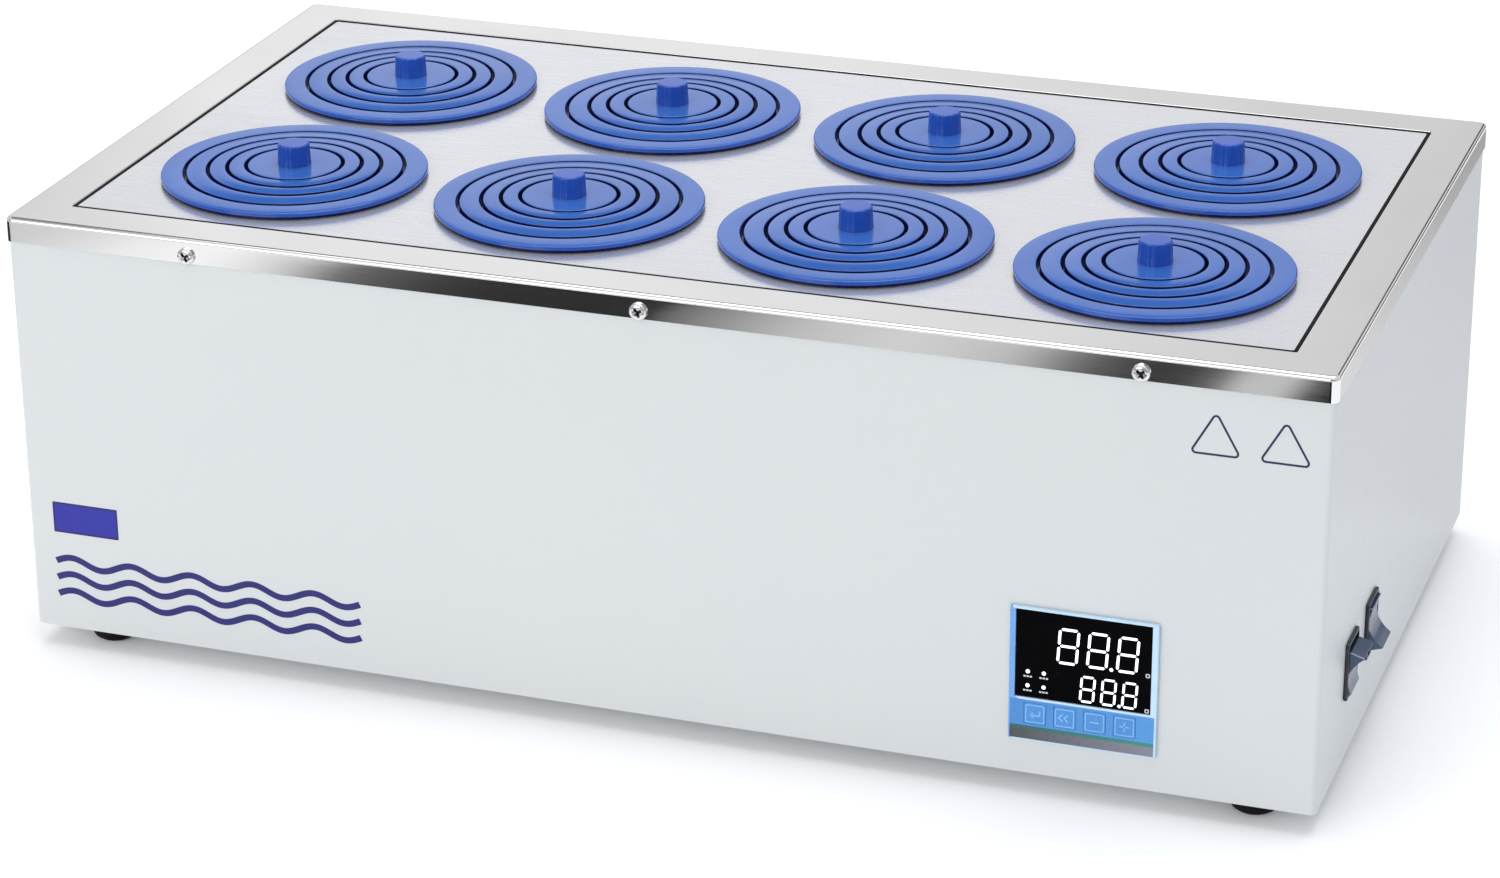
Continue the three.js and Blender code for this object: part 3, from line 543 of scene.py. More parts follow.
def add_camera():
    data = bpy.data.cameras.new("camera")
    data.lens = CAMERA_LENS
    data.sensor_width = 36
    data.clip_start, data.clip_end = 0.05, 50
    camera = add_object("camera", data)
    back = Vector((
        math.sin(CAMERA_AZIMUTH) * math.cos(CAMERA_ELEVATION),
        -math.cos(CAMERA_AZIMUTH) * math.cos(CAMERA_ELEVATION),
        math.sin(CAMERA_ELEVATION),
    ))
    right = Vector((0, 0, 1)).cross(back).normalized()
    up = back.cross(right)
    tilt_right = right * math.cos(CAMERA_ROLL) + up * math.sin(CAMERA_ROLL)
    tilt_up = up * math.cos(CAMERA_ROLL) - right * math.sin(CAMERA_ROLL)
    turn = Matrix((tilt_right, tilt_up, back)).transposed().to_4x4()
    place = Vector((MIDDLE.x, MIDDLE.y, CASE_FLOOR)) + CAMERA_PLACE
    camera.matrix_world = Matrix.Translation(place) @ turn
    bpy.context.scene.camera = camera


add_camera()

# --- Lids: four rings and a cap with a fluted knob over each opening, sizes in millimetres ---

RING_JOINTS = (58.0, 45.75, 35.5, 25.5)  # radii where the rings part
LID_R = 70.5
RIM_H = 3.7
RIM_FACE = 2.3  # height of the rim above its undercut
UNDERCUT = 1.1
CROWN = 0.14
EDGE = 0.65  # rounding of the moulded edges
PART = 0.88  # half the open groove between two rings at the surface
RISES = ((LID_R, 0.0), *zip(RING_JOINTS, (0.3, 1.3, 2.15, 2.65)))  # climb towards the cap
SHOULDER = -2.2  # undersides of the lid, from the top of the rim
STEP = -3.1
SHELF = -3.4
RIB = -4.9
COLLAR = -5.8
SKIRT = -9.8
KNOB_LOBES = 12
KNOB_R = 9.0
KNOB_H = 11.5
KNOB_EDGE = 1.0
KNOB_TAPER = 0.06
FLUTE = 0.45


def rise(radius):
    """Height of the lid's surface above its rim."""
    for (outer, low), (inner, high) in zip(RISES, RISES[1:]):
        if radius >= inner:
            return low + (high - low) * min(1, (outer - radius) / (outer - inner))
    return RISES[-1][1]


def crowned(outer, inner):
    """Top of a ring from its outer edge to its inner edge, slightly higher in the middle."""
    points = []
    for t in (0, 0.25, 0.5, 0.75, 1):
        radius = outer + (inner - outer) * t
        points.append((radius, rise(radius) - CROWN * (2 * t - 1) ** 2))
    return points


def outer_ring_outline():
    joint = RING_JOINTS[0]
    points = [
        (joint - 2.8, COLLAR), (joint + 2.7, COLLAR), (joint + 2.7, SHOULDER), (62.8, SHOULDER),
        (62.9, SKIRT), (65.1, SKIRT), (65.3, SHOULDER), (67.6, SHOULDER), (67.6, -RIM_H),
        (LID_R - UNDERCUT, -RIM_H), (LID_R - UNDERCUT, -RIM_FACE), (LID_R, -RIM_FACE),
        *crowned(LID_R, joint + PART), (joint + PART, SHELF), (joint - 2.8, SHELF),
    ]
    radii = [0.2] * 4 + [0.3, 0.3, 0.2, 0.2, 0.3, 0.2, 0.2, 0.35, 0.9, 0, 0, 0, EDGE, 0.2, 0.2]
    return ring_profile(points, radii, 4)


def inner_ring_outline(outer, inner):
    points = [
        (inner - 2.8, RIB), (inner + 2.0, RIB), (inner + 2.0, SHOULDER), (outer - 5.2, SHOULDER),
        (outer - 5.2, RIB), (outer - 3.3, RIB), (outer - 3.3, STEP), (outer - PART, STEP),
        *crowned(outer - PART, inner + PART), (inner + PART, SHELF), (inner - 2.8, SHELF),
    ]
    return ring_profile(points, [0.2] * 8 + [EDGE, 0, 0, 0, EDGE, 0.2, 0.2])


def cap_outline():
    joint = RING_JOINTS[-1]
    points = [
        (0, SHOULDER), (joint - 5.2, SHOULDER), (joint - 5.2, RIB), (joint - 3.3, RIB),
        (joint - 3.3, STEP), (joint - PART, STEP), *crowned(joint - PART, 0)[:3], (0, rise(0)),
    ]
    return ring_profile(points, [0] + [0.2] * 5 + [EDGE, 0, 0, 0])


def knob_loop(scale, height, sink=1.0):
    """One level of the fluted knob; sink 0 rounds the flutes away."""
    steps = KNOB_LOBES * 10
    loop = []
    for i in range(steps):
        angle = 2 * PI * i / steps
        flute = abs(math.sin(angle * KNOB_LOBES / 2)) ** 0.8
        radius = (KNOB_R - FLUTE * sink * (1 - flute)) * scale
        loop.append(Vector((radius * math.cos(angle), radius * math.sin(angle), height)) * MM)
    return loop


def knob_part():
    top, shoulder = 1 - KNOB_TAPER, KNOB_H - KNOB_EDGE
    loops = [knob_loop(1.0, -0.3)]
    for i, angle in enumerate(quarter(5)):
        sink = 1 - i / 7
        scale = top - 0.11 * (1 - math.cos(angle))
        loops.append(knob_loop(scale, shoulder + math.sin(angle), sink))
    return loft(loops + [knob_loop(scale, KNOB_H, 0) for scale in (0.5, 0.01)])


def shade_lid(obj, centre, top):
    """Grooves and the rim's undercut get a dark painted shade; the rim's face is painted a deeper blue
    that stands in for its dark reflection.
    """
    obj.data.materials.append(LID_GROOVE_SHADE)
    obj.data.materials.append(KNOB_BLUE_AND_RIM_SHADE)
    for face in obj.data.polygons:
        radius = math.hypot(face.center.x - centre.x, face.center.y - centre.y) / MM
        deep = (top - face.center.z) / MM + rise(radius)
        # Groove walls and the rim's undercut get the painted shade
        in_groove = deep > 0.3 and any(abs(radius - joint) < PART + 0.2 for joint in RING_JOINTS)
        under_rim = deep > RIM_FACE - 0.1 and radius > 66
        if in_groove or under_rim:
            face.material_index = 1
        # The rim's face gets a deeper blue, a painted dark reflection
        elif radius > LID_R - 0.6 and abs(face.normal.z) < 0.75:
            face.material_index = 2


def add_lid(number):
    outer = Box(f"lid_ring_outer_{number}")
    centre = outer.middle
    top = outer.high.z - RISES[1][1] * MM

    def add(name, outline, segments, body, stands_for, closed=True):
        part = lathe([(r, z + top) for r, z in outline], segments, centre, closed)
        obj = piece(name, part, LID_BLUE, stands_for, 60, f"{body}_{number}")
        shade_lid(obj, centre, top)

    add(f"outer_ring_{number}", outer_ring_outline(), 128, "outer_ring", f"lid_ring_outer_{number}")
    for letter, outside, inside in zip("abc", RING_JOINTS, RING_JOINTS[1:]):
        add(f"ring_{number}_{letter}", inner_ring_outline(outside, inside), 112, "inner_rings",
            f"lid_rings_inner_{number}" if letter == "a" else "")
    add(f"cap_{number}", cap_outline(), 96, "cap", f"lid_cap_{number}", False)
    knob = moved(knob_part(), (centre.x, centre.y, top + rise(0) * MM))
    piece(f"knob_{number}", knob, KNOB_BLUE_AND_RIM_SHADE, "", 50, f"cap_{number}")


for lid_number in LIDS:
    add_lid(lid_number)

# --- Top frame and cover plate ---

FRAME_BAND = 26.2 * MM
FRAME_SHEET = 0.9 * MM
FRAME_CORNER = 4.5 * MM
FRAME_BEND = 2.4 * MM
LEDGE_DROP = 1.9 * MM  # frame surface down to the ledge under the cover plate
LEDGE_W = 9 * MM
COVER_EDGE = 0.3 * MM
COVER_CORNER = 1.2 * MM
LID_HOLE_R = 66 * MM
SCREW_HOLE_R = 2.4 * MM
# The dark strip in the cover's groove is painted shade
GAP_SHADE_W = 1.7 * MM
GAP_SHADE_SINK = 0.12 * MM  # top of the dark strip below the frame's surface
SLIT = 0.02 * MM


def add_top_frame():
    skirt = TRIM.high.z - TRIM.low.z
    under = LEDGE_DROP + FRAME_SHEET
    ledge, inside = FRAME_BAND + LEDGE_W, FRAME_BAND - FRAME_SHEET
    outline = [
        (0, -skirt), (0, 0), (FRAME_BAND, 0), (FRAME_BAND, -LEDGE_DROP), (ledge, -LEDGE_DROP),
        (ledge, -under), (inside, -under), (inside, -FRAME_SHEET), (FRAME_SHEET, -FRAME_SHEET),
        (FRAME_SHEET, -skirt),
    ]
    thin = 0.2 * MM
    radii = [thin, FRAME_BEND, 0.7 * MM] + [thin] * 5 + [FRAME_BEND - FRAME_SHEET, thin]
    loops = []
    for point in fillet([Vector((u, z, 0)) for u, z in outline], radii, 7):
        corner = max(FRAME_CORNER - point.x, 1.4 * MM)
        levels = [(point.x, TRIM_TOP + point.y)]
        loops += rounded_stack(TRIM.half_x, TRIM.half_y, corner, levels, 8, MIDDLE)
    obj = piece("frame_sheet", loft(loops, True), FRAME_STEEL, "top_frame")
    holes = []
    for i in FRAME_SCREWS:
        place = Box(f"frame_screw_{i}").middle
        holes.append(turned(moved(bore(SCREW_HOLE_R, -6 * MM, 6 * MM, 24), place), PI / 2, "X", place))
    cut(obj, *holes)


def add_cover_plate():
    edge = COVER_EDGE
    levels = ((edge, COVER.low.z), (0, COVER.low.z + edge), (0, COVER_TOP - edge),
              (edge * 0.3, COVER_TOP - edge * 0.3), (edge, COVER_TOP))
    loops = rounded_stack(COVER.half_x, COVER.half_y, COVER_CORNER, levels, 4, MIDDLE)
    obj = piece("cover_sheet", loft(loops), COVER_STEEL, "cover_plate", body="cover")
    cut(obj, *[bore(LID_HOLE_R, COVER_TOP - 5 * MM, COVER_TOP + 5 * MM, 96,
                    Box(f"lid_ring_outer_{number}").middle) for number in LIDS])


def add_cover_gap_shade():
    """A black strip that fills the groove round the cover plate, a dark sheet that stands in for the
    shade in the gap.
    """
    half_x, half_y = TRIM.half_x - FRAME_BAND - SLIT, TRIM.half_y - FRAME_BAND - SLIT
    low, high = TRIM_TOP - LEDGE_DROP + SLIT, TRIM_TOP - GAP_SHADE_SINK
    levels = ((0, low), (0, high), (GAP_SHADE_W, high), (GAP_SHADE_W, low))
    loops = rounded_stack(half_x, half_y, COVER_CORNER, levels, 4, MIDDLE)
    piece("cover_gap_shade", loft(loops, True), RUBBER)


add_top_frame()
add_cover_plate()
add_cover_gap_shade()

# --- Casing wrap ---

SHEET = 1.2 * MM
BEND = 3.2 * MM
LIP = 12 * MM
SWITCH_HOLE = (11.8 * MM, 15 * MM)  # half width and half height
THROUGH = 4 * MM  # reach of a cutting block beyond the sheet


def bent_sheet(corners, bend, thickness, low, high):
    """A sheet that follows a polyline in plan with bent corners; the material lies on its left."""
    path = fillet([Vector((x, y, 0)) for x, y in corners], bend, 8, closed=False)
    inner = []
    for i, point in enumerate(path):
        before = path[max(i - 1, 0)]
        after = path[min(i + 1, len(path) - 1)]
        first = (point - before).normalized() if i else (after - point).normalized()
        second = (after - point).normalized() if i < len(path) - 1 else first
        along = (first + second).normalized()
        left = Vector((-along.y, along.x, 0))
        inner.append(point + left * thickness / max(0.2, left.dot(Vector((-first.y, first.x, 0)))))
    outline = path + inner[::-1]
    return strip_solid([[Vector((p.x, p.y, z)) for p in outline] for z in (low, high)])


def strip_solid(loops):
    """Solid between two loops that run out along one side of a strip and back along the other."""
    size = len(loops[0])
    faces = [(i, (i + 1) % size, (i + 1) % size + size, i + size) for i in range(size)]
    for i in range(size // 2 - 1):
        end = (i, i + 1, size - 2 - i, size - 1 - i)
        faces += [end, tuple(v + size for v in end)]
    return loops[0] + loops[1], faces


def add_casing():
    (left, front), (right, rear) = CASE.low.xy, CASE.high.xy
    corners = [
        (left + SHEET + LIP, rear), (left, rear), (left, front), (right, front), (right, rear),
        (right - SHEET - LIP, rear),
    ]
    part = bent_sheet(corners, BEND, SHEET, CASE.low.z, CASE.high.z)
    obj = piece("casing_sheet", part, PAINT, "casing_wrap", 30)
    low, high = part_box("controller_housing")
    slack = Vector((0.3 * MM, 0, 0.3 * MM))
    reach = Vector((0, THROUGH, 0))
    tools = [block(Vector((low.x, FRONT_Y, low.z)) - slack - reach,
                   Vector((high.x, FRONT_Y, high.z)) + slack + reach)]
    for which in ("front", "rear"):
        middle = Box(f"switch_housing_{which}").middle
        wide, tall = SWITCH_HOLE
        tools.append(block((RIGHT_X - THROUGH, middle.y - wide, middle.z - tall),
                           (RIGHT_X + THROUGH, middle.y + wide, middle.z + tall)))
    cut(obj, *tools)


add_casing()

# --- Screws and feet ---

FRAME_SCREW = (4.5, 2.7)  # radius and height of the head, millimetres
LIP_SCREW = (3.4, 2)
INLET_SCREW = (2.6, 1.3)
FRAME_SCREW_TURNS = (0.6, 0.5, 0.75)
FOOT_PROFILE = [(0, 0), (4, 0), (4, 1.6), (6.4, 1.6), (7, 0), (9.2, 0), (12.2, 2.2), (13, 5.6),
                (13, 11.4), (12.4, 11.7), (0, 11.7)]
FOOT_RADII = [0, 0.3, 0.3, 0.3, 0.5, 2, 2.5, 2, 0.5, 0.2, 0]


def pan_head(radius, height):
    """Pan head along +Z with its underside at the origin."""
    profile = [(0, 0), (radius, 0), (radius, height * 0.42)]
    for angle in quarter(8)[1:]:
        out, up = 0.35 + 0.65 * math.cos(angle), 0.42 + 0.58 * math.sin(angle)
        profile.append((radius * out, height * up))
    return lathe(profile + [(0, height)], 40)


def cross_tools(radius, height, turn):
    """The two tapered slots of a cross recess."""
    half_l, half_w, depth = radius * 0.62, radius * 0.17, height * 0.66
    corners = ((-1, -1), (1, -1), (1, 1), (-1, 1))
    loops = [[Vector((x * half_l * grow, y * half_w * grow, z)) for x, y in corners]
             for z, grow in ((height - depth, 0.42), (height * 1.3, 1.25))]
    return [turned(loft(loops), angle + turn, "Z") for angle in (0, PI / 2)]


def add_screw(name, place, axis, size, turn, stands_for="", shank=0.0):
    """A cross-recess screw whose head stands out of place along axis."""
    radius, height = mm(size)[0]
    place, axis = Vector(place), Vector(axis)
    spin = Vector((0, 0, 1)).rotation_difference(axis).to_matrix()

    def put(part):
        return [spin @ Vector(v) + place for v in part[0]], part[1]

    head = pan_head(radius, height)
    if shank:
        core, top = radius * 0.45, height * 0.2
        head = merge(head, lathe([(0, -shank), (core, -shank), (core, top), (0, top)], 20))
    obj = piece(name, put(head), [SCREW_STEEL, SCREW_RECESS_SHADE], stands_for, 35)
    cut(obj, *[put(tool) for tool in cross_tools(radius, height, turn)])
    # Faces inside the cross recess get the painted shade
    for face in obj.data.polygons:
        out = face.center - place
        above = out.dot(axis)
        in_recess = (out - axis * above).length < radius * 0.75 and above > height * 0.25
        sunk = above < height * 0.5 or abs(face.normal.dot(axis)) < 0.5
        face.material_index = 1 if in_recess and sunk else 0


for screw, screw_turn in zip(FRAME_SCREWS, FRAME_SCREW_TURNS):
    screw_place = Box(f"frame_screw_{screw}").middle
    screw_place.y = TRIM.low.y
    add_screw(f"front_screw_{screw}", screw_place, (0, -1, 0), FRAME_SCREW, screw_turn,
              f"frame_screw_{screw}", 7 * MM)

for foot in ("front_left", "front_right", "rear_left", "rear_right"):
    foot_part = lathe(ring_profile(FOOT_PROFILE, FOOT_RADII, 5), 64, Box(f"foot_{foot}").middle)
    piece(f"rubber_foot_{foot}", foot_part, RUBBER, f"foot_{foot}", 45)

# --- Temperature controller, places in millimetres from its top left corner ---

PANEL_FACE = PANEL.low.y  # outer face of the bezel
INK = 0.06 * MM
BEZEL_EDGE = 0.7 * MM
WINDOW_GAP = 0.3 * MM
KEY_GAP = 0.15 * MM
KEY_FRAME = 4.9 * MM  # half width of the printed frame on a key
KEY_FRAME_W = 0.55 * MM
KEY_LINE_W = 0.75 * MM
BAND = (1.0, 74.4)  # left and right end of the printed bands
BANDS = (("green_band", 64.6, 66.6, BAND_GREEN), ("grey_band", 66.6, 71.9, BAND_GREY))
# Left end, pitch, top, width, height and bar of the two rows of digits
DIGITS = ((24.0, 15.1, 8.7, 10.8, 19.6, 1.35), (35.9, 10.7, 33.0, 7.7, 14.6, 1.15))
DIGIT_SLANT = 0.06
POINTS = ((52.0, 27.6, 0.95), (56.4, 46.9, 0.85))  # decimal points and their radius
LAMPS_X = (9.7, 17.9)
LAMPS_Y = (34.9, 42.6)
LAMP_R = 1.05
CAPTIONS_Y = (37.6, 45.3)
UNIT_MARKS = ((69.3, 27.0), (69.3, 46.3))
KEY_ICONS = {  # enter, shift, down and up, as lines round the middle of the key
    1: [[(2.4, 1.8), (2.4, -0.9), (-2.2, -0.9)], [(-0.9, 0.5), (-2.4, -0.9), (-0.9, -2.3)]],
    2: [[(-1.0, 2.0), (-3.0, 0), (-1.0, -2.0)], [(1.8, 2.0), (-0.2, 0), (1.8, -2.0)]],
    3: [[(-2.4, 0), (2.4, 0)]],
    4: [[(-2.4, 0), (2.4, 0)], [(0, 2.4), (0, -2.4)]],
}


def on_panel(across, down):
    """X and Z of a point on the controller."""
    return PANEL.low.x + across * MM, PANEL.high.z - down * MM


def front_plate(outline, face):
    """An outline of (x, z) points as a printed layer in front of the plane y = face."""
    return loft([[Vector((x, y, z)) for x, z in outline] for y in (face, face - INK)])


def rounded_outline(left, right, low, high, radius, steps=5):
    loop = rounded_rect((right - left) / 2, (high - low) / 2, radius, 0, steps,
                        ((left + right) / 2, (low + high) / 2))
    return [(p.x, p.y) for p in loop]


def outline_frame(outer, inner, face):
    """The flat printed ring between two outlines of equal length."""
    levels = ((outer, face), (outer, face - INK), (inner, face - INK), (inner, face))
    return loft([[Vector((x, y, z)) for x, z in outline] for outline, y in levels], True)


def stroke(points, width, face, closed=False):
    """A printed line of the given width through (x, z) points."""
    count = len(points)
    half = width / 2
    loops = []
    for i in range(count):
        here = Vector(points[i])
        before = Vector(points[i - 1]) if closed or i else here
        after = Vector(points[(i + 1) % count]) if closed or i < count - 1 else here
        first = (here - before).normalized() if (here - before).length else (after - here).normalized()
        second = (after - here).normalized() if (after - here).length else first
        normal = Vector((-first.y - second.y, first.x + second.x)).normalized()
        reach = half / max(0.35, normal.dot(Vector((-first.y, first.x))))
        a, b = here + normal * reach, here - normal * reach
        loops.append([Vector((a.x, face, a.y)), Vector((a.x, face - INK, a.y)),
                      Vector((b.x, face - INK, b.y)), Vector((b.x, face, b.y))])
    return loft(loops, closed)


def opening(node, gap, back):
    """A block that cuts the opening round a node in the controller's face."""
    low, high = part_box(node)
    return block((low.x - gap, PANEL_FACE - THROUGH, low.z - gap),
                 (high.x + gap, back + THROUGH, high.z + gap))


def add_bezel():
    window_low, window_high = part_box("display_window")
    edge = BEZEL_EDGE
    levels = ((0, PANEL.high.y), (0, PANEL_FACE + edge), (edge * 0.3, PANEL_FACE + edge * 0.3),
              (edge, PANEL_FACE))
    loops = rounded_stack(PANEL.half_x, PANEL.half_z, 1.3 * MM, levels, 5, PANEL.centre[::2])
    obj = piece("bezel_plate", swapped(loft(loops), "xzy"), [BEZEL_PALE, BEZEL_BLUE],
                "controller_bezel", 50)
    keys = [opening(f"key_{number}", KEY_GAP, PANEL.high.y) for number in KEYS]
    cut(obj, opening("display_window", WINDOW_GAP, PANEL.high.y), *keys)
    for face in obj.data.polygons:  # blue beside the window
        face.material_index = 1 if face.center.x < window_low.x and face.normal.x > -0.9 else 0
    pane = block(window_low, (window_high.x, PANEL.high.y, window_high.z), 0.25 * MM)
    piece("window_pane", pane, WINDOW, "display_window", 50)


def band(top, bottom):
    (left, low), (right, high) = on_panel(BAND[0], bottom), on_panel(BAND[1], top)
    return front_plate(rounded_outline(left, right, low, high, 0.2 * MM), PANEL_FACE)


def add_panel_print():
    """Key strip with openings for the keys, and the bands below it."""
    obj = piece("key_strip", band(50.4, 64.6), STRIP_BLUE)
    cut(obj, *[opening(f"key_{number}", KEY_GAP, PANEL_FACE) for number in KEYS])
    for name, top, bottom, material in BANDS:
        piece(name, band(top, bottom), material)


def bar_outline(start, end, thickness):
    """A lit bar with pointed ends."""
    along = (end - start).normalized()
    side = Vector((-along.y, along.x)) * thickness / 2
    tip = along * thickness / 2
    return [start, start + tip + side, end - tip + side, end, end - tip - side, start + tip - side]


def digit_parts(left, top, width, height, bar, face):
    """The seven bars of one digit, all lit."""
    gap = bar * 0.42
    x0, x1 = left + bar / 2, left + width - bar / 2
    y0, y2 = top + bar / 2, top + height - bar / 2
    y1 = (y0 + y2) / 2
    bars = [((x0, y), (x1, y)) for y in (y0, y1, y2)]
    bars += [((x, a), (x, b)) for x in (x0, x1) for a, b in ((y0, y1), (y1, y2))]
    parts = []
    for start, end in bars:
        start, end = Vector(start), Vector(end)
        along = (end - start).normalized() * gap
        outline = bar_outline(start + along, end - along, bar)
        slanted = [on_panel(p.x + (top + height - p.y) * DIGIT_SLANT, p.y) for p in outline]
        parts.append(front_plate(slanted, face))
    return parts


def dot_part(across, down, radius, face):
    return front_plate(around(on_panel(across, down), radius * MM, 20), face)


def add_display():
    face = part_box("display_window")[0].y + 0.01 * MM
    parts = []
    for i in range(3):
        for left, pitch, top, width, height, bar in DIGITS:
            parts += digit_parts(left + pitch * i, top, width, height, bar, face)
    parts += [dot_part(*point, face) for point in POINTS]
    parts += [dot_part(x, y, LAMP_R, face) for x in LAMPS_X for y in LAMPS_Y]
    piece("display_digits", merge(*parts), DIGIT_WHITE)
    captions = []
    for x in LAMPS_X:
        for y in CAPTIONS_Y:
            for i in range(3):
                left, high = on_panel(x - 2.2 + 1.6 * i, y - 0.45)
                dash = rounded_outline(left, left + 1.2 * MM, high - 0.9 * MM, high, 0.2 * MM, 2)
                captions.append(front_plate(dash, face))
    for x, y in UNIT_MARKS:
        left, high = on_panel(x, y)
        near, far, size = 0.5 * MM, 1.7 * MM, 2.2 * MM
        captions.append(outline_frame(
            rounded_outline(left, left + size, high - size, high, 0.6 * MM, 3),
            rounded_outline(left + near, left + far, high - far, high - near, 0.4 * MM, 3), face))
    # The captions carry a faint painted glow
    piece("display_captions", merge(*captions), CAPTION_PAINTED_GLOW)


def add_key(number):
    key = Box(f"key_{number}")
    x, face, z = key.centre[0], key.low.y, key.centre[2]
    cap = block(key.low, key.high, 0.35 * MM)
    piece(f"key_cap_{number}", cap, KEY_BLUE, f"key_{number}", 50, f"key_{number}")
    half, line = KEY_FRAME, KEY_FRAME_W
    left, right, low, high = x - half, x + half, z - half, z + half
    ring = outline_frame(
        rounded_outline(left, right, low, high, 0.9 * MM),
        rounded_outline(left + line, right - line, low + line, high - line, 0.5 * MM), face)
    lines = [stroke([(x + a * MM, z + b * MM) for a, b in points], KEY_LINE_W, face)
             for points in KEY_ICONS[number]]
    piece(f"key_print_{number}", merge(ring, *lines), KEY_LINE, body=f"key_{number}")


add_bezel()
add_panel_print()
add_display()
for key_number in KEYS:
    add_key(key_number)

# --- Printed marks, places in millimetres from the middle of the casing's lower front edge ---

BADGE = ((-334.5, 55.7), (-296.6, 73.2))  # lower left and upper right corner
BADGE_RIM = 1.0 * MM
WAVE_LEFT = -334.5
WAVE_LENGTH = 176.0
WAVE_LOW = 19.5
WAVE_PITCH = 9.6
WAVE_RISE = 2.6
WAVE_COUNT = 5
WAVE_WIDTH = 3.6 * MM
WAVE_STEPS = 160
TRIANGLES = (
    ("triangle_left", (291.8, 206.5), (279.6, 184.8), (304.2, 184.8)),
    ("triangle_right", (325.9, 206.0), (313.6, 184.5), (338.4, 184.5)),
)


def on_front(across, up):
    return MIDDLE.x + across * MM, CASE_FLOOR + up * MM


def add_badge():
    """A plain blue plate with a darker edge in place of the model badge."""
    (left, low), (right, high) = on_front(*BADGE[0]), on_front(*BADGE[1])
    outer = rounded_outline(left, right, low, high, 0.6 * MM)
    piece("badge", front_plate(outer, FRONT_Y), INK_BADGE)
    rim = BADGE_RIM
    inner = rounded_outline(left + rim, right - rim, low + rim, high - rim, 0.4 * MM)
    piece("badge_rim", outline_frame(outer, inner, FRONT_Y - INK), INK_EDGE)


def add_wave_mark():
    """Three wavy lines in place of the lettering."""
    lines = []
    for row in range(3):
        points = []
        for t in (i / WAVE_STEPS for i in range(WAVE_STEPS + 1)):
            up = WAVE_LOW + WAVE_PITCH * row + WAVE_RISE * math.sin(2 * PI * t * WAVE_COUNT)
            points.append(on_front(WAVE_LEFT + WAVE_LENGTH * t, up))
        lines.append(stroke(points, WAVE_WIDTH, FRONT_Y))
    piece("wave_mark", merge(*lines), INK_BLUE)


def add_triangle(name, *corners):
    """A plain triangle outline with rounded corners."""
    path = fillet([Vector((*on_front(*p), 0)) for p in corners], 1.6 * MM)
    piece(name, stroke([(p.x, p.y) for p in path], 1.1 * MM, FRONT_Y, True), INK_DARK)


add_badge()
add_wave_mark()
for triangle in TRIANGLES:
    add_triangle(*triangle)

# --- Rocker switches ---

ROCKER_TILT = math.radians(16)
ROCKER_HALF = 10.35 * MM
ROCKER_STEPS = 20
SWITCH_EDGE = 0.7 * MM
SWITCH_LIFT = 0.3 * MM  # gap between the casing and the back of the switch's bezel
SWITCH_BODY = (11.5 * MM, 14.7 * MM)
POCKET = (10.8 * MM, 13.9 * MM)
POCKET_DEPTH = 14.5 * MM
PIN_HALF = 3 * MM
HINGE_DEPTH = 3.7 * MM


def rocker_outline():
    """Side view of a level rocker about its hinge: a dished face with rounded ends."""
    face = []
    for i in range(ROCKER_STEPS + 1):
        t = i / ROCKER_STEPS * 2 - 1
        face.append((4.2 + 4.45 * t * t, 11.25 * t))
    points = [(1.0, -11.45)] + face + [(1.0, 11.45), (-4.5, 5.0), (-4.5, -5.0)]
    radii = [0.3, 0.4] + [0] * (ROCKER_STEPS - 1) + [0.4, 0.3, 0.8, 0.8]
    flat = fillet([Vector((x * MM, z * MM, 0)) for x, z in points], [r * MM for r in radii], 3)
    return [p.xy for p in flat]


def rocker_part():
    outline = rocker_outline()
    middle = sum(outline, Vector((0, 0))) / len(outline)
    loops = []
    for inset, y in soft_rims(-ROCKER_HALF, ROCKER_HALF, 0.5 * MM):
        loop = [middle + (p - middle) * (1 - inset / (p - middle).length) for p in outline]
        loops.append([Vector((p.x, y, p.y)) for p in loop])
    return loft(loops)


def add_switch(which, tilt):
    box = Box(f"switch_housing_{which}")
    middle, low, face = box.middle, box.low, box.high.x
    back = RIGHT_X + SWITCH_LIFT
    edge = SWITCH_EDGE
    loops = []
    for half_y, half_z, corner, levels in (
            (*SWITCH_BODY, 0.8, ((0, low.x + 7 * MM), (0, back))),
            (box.half_y, box.half_z, 1.6,
             ((0, back), (0, face - edge), (edge * 0.3, face - edge * 0.3), (edge, face))),
            (*POCKET, 0.8, ((-0.3 * MM, face), (0, face - 0.4 * MM), (0, face - POCKET_DEPTH)))):
        loops += rounded_stack(half_y, half_z, corner * MM, levels, 5, middle.yz)
    tabs = [block((low.x, middle.y - PIN_HALF, middle.z + z * MM - 0.5 * MM),
                  (low.x + 7.5 * MM, middle.y + PIN_HALF, middle.z + z * MM + 0.5 * MM))
            for z in (-7, 0, 7)]
    housing = merge(swapped(loft(loops), "zxy"), *tabs)
    piece(f"switch_body_{which}", housing, BLACK, f"switch_housing_{which}", 50)
    part = moved(turned(rocker_part(), tilt, "Y"), (face - HINGE_DEPTH, middle.y, middle.z))
    obj = piece(f"rocker_cap_{which}", part, [ROCKER, ROCKER_EDGE_HIGHLIGHT],
                f"rocker_{which}", body=f"rocker_{which}")
    for side in obj.data.polygons:  # the bevelled edges are painted pale as a highlight
        side.material_index = 1 if 0.2 < abs(side.normal.y) < 0.97 else 0


add_switch("front", ROCKER_TILT)
add_switch("rear", -ROCKER_TILT)

# --- Rear panel, power inlet and drain valve ---

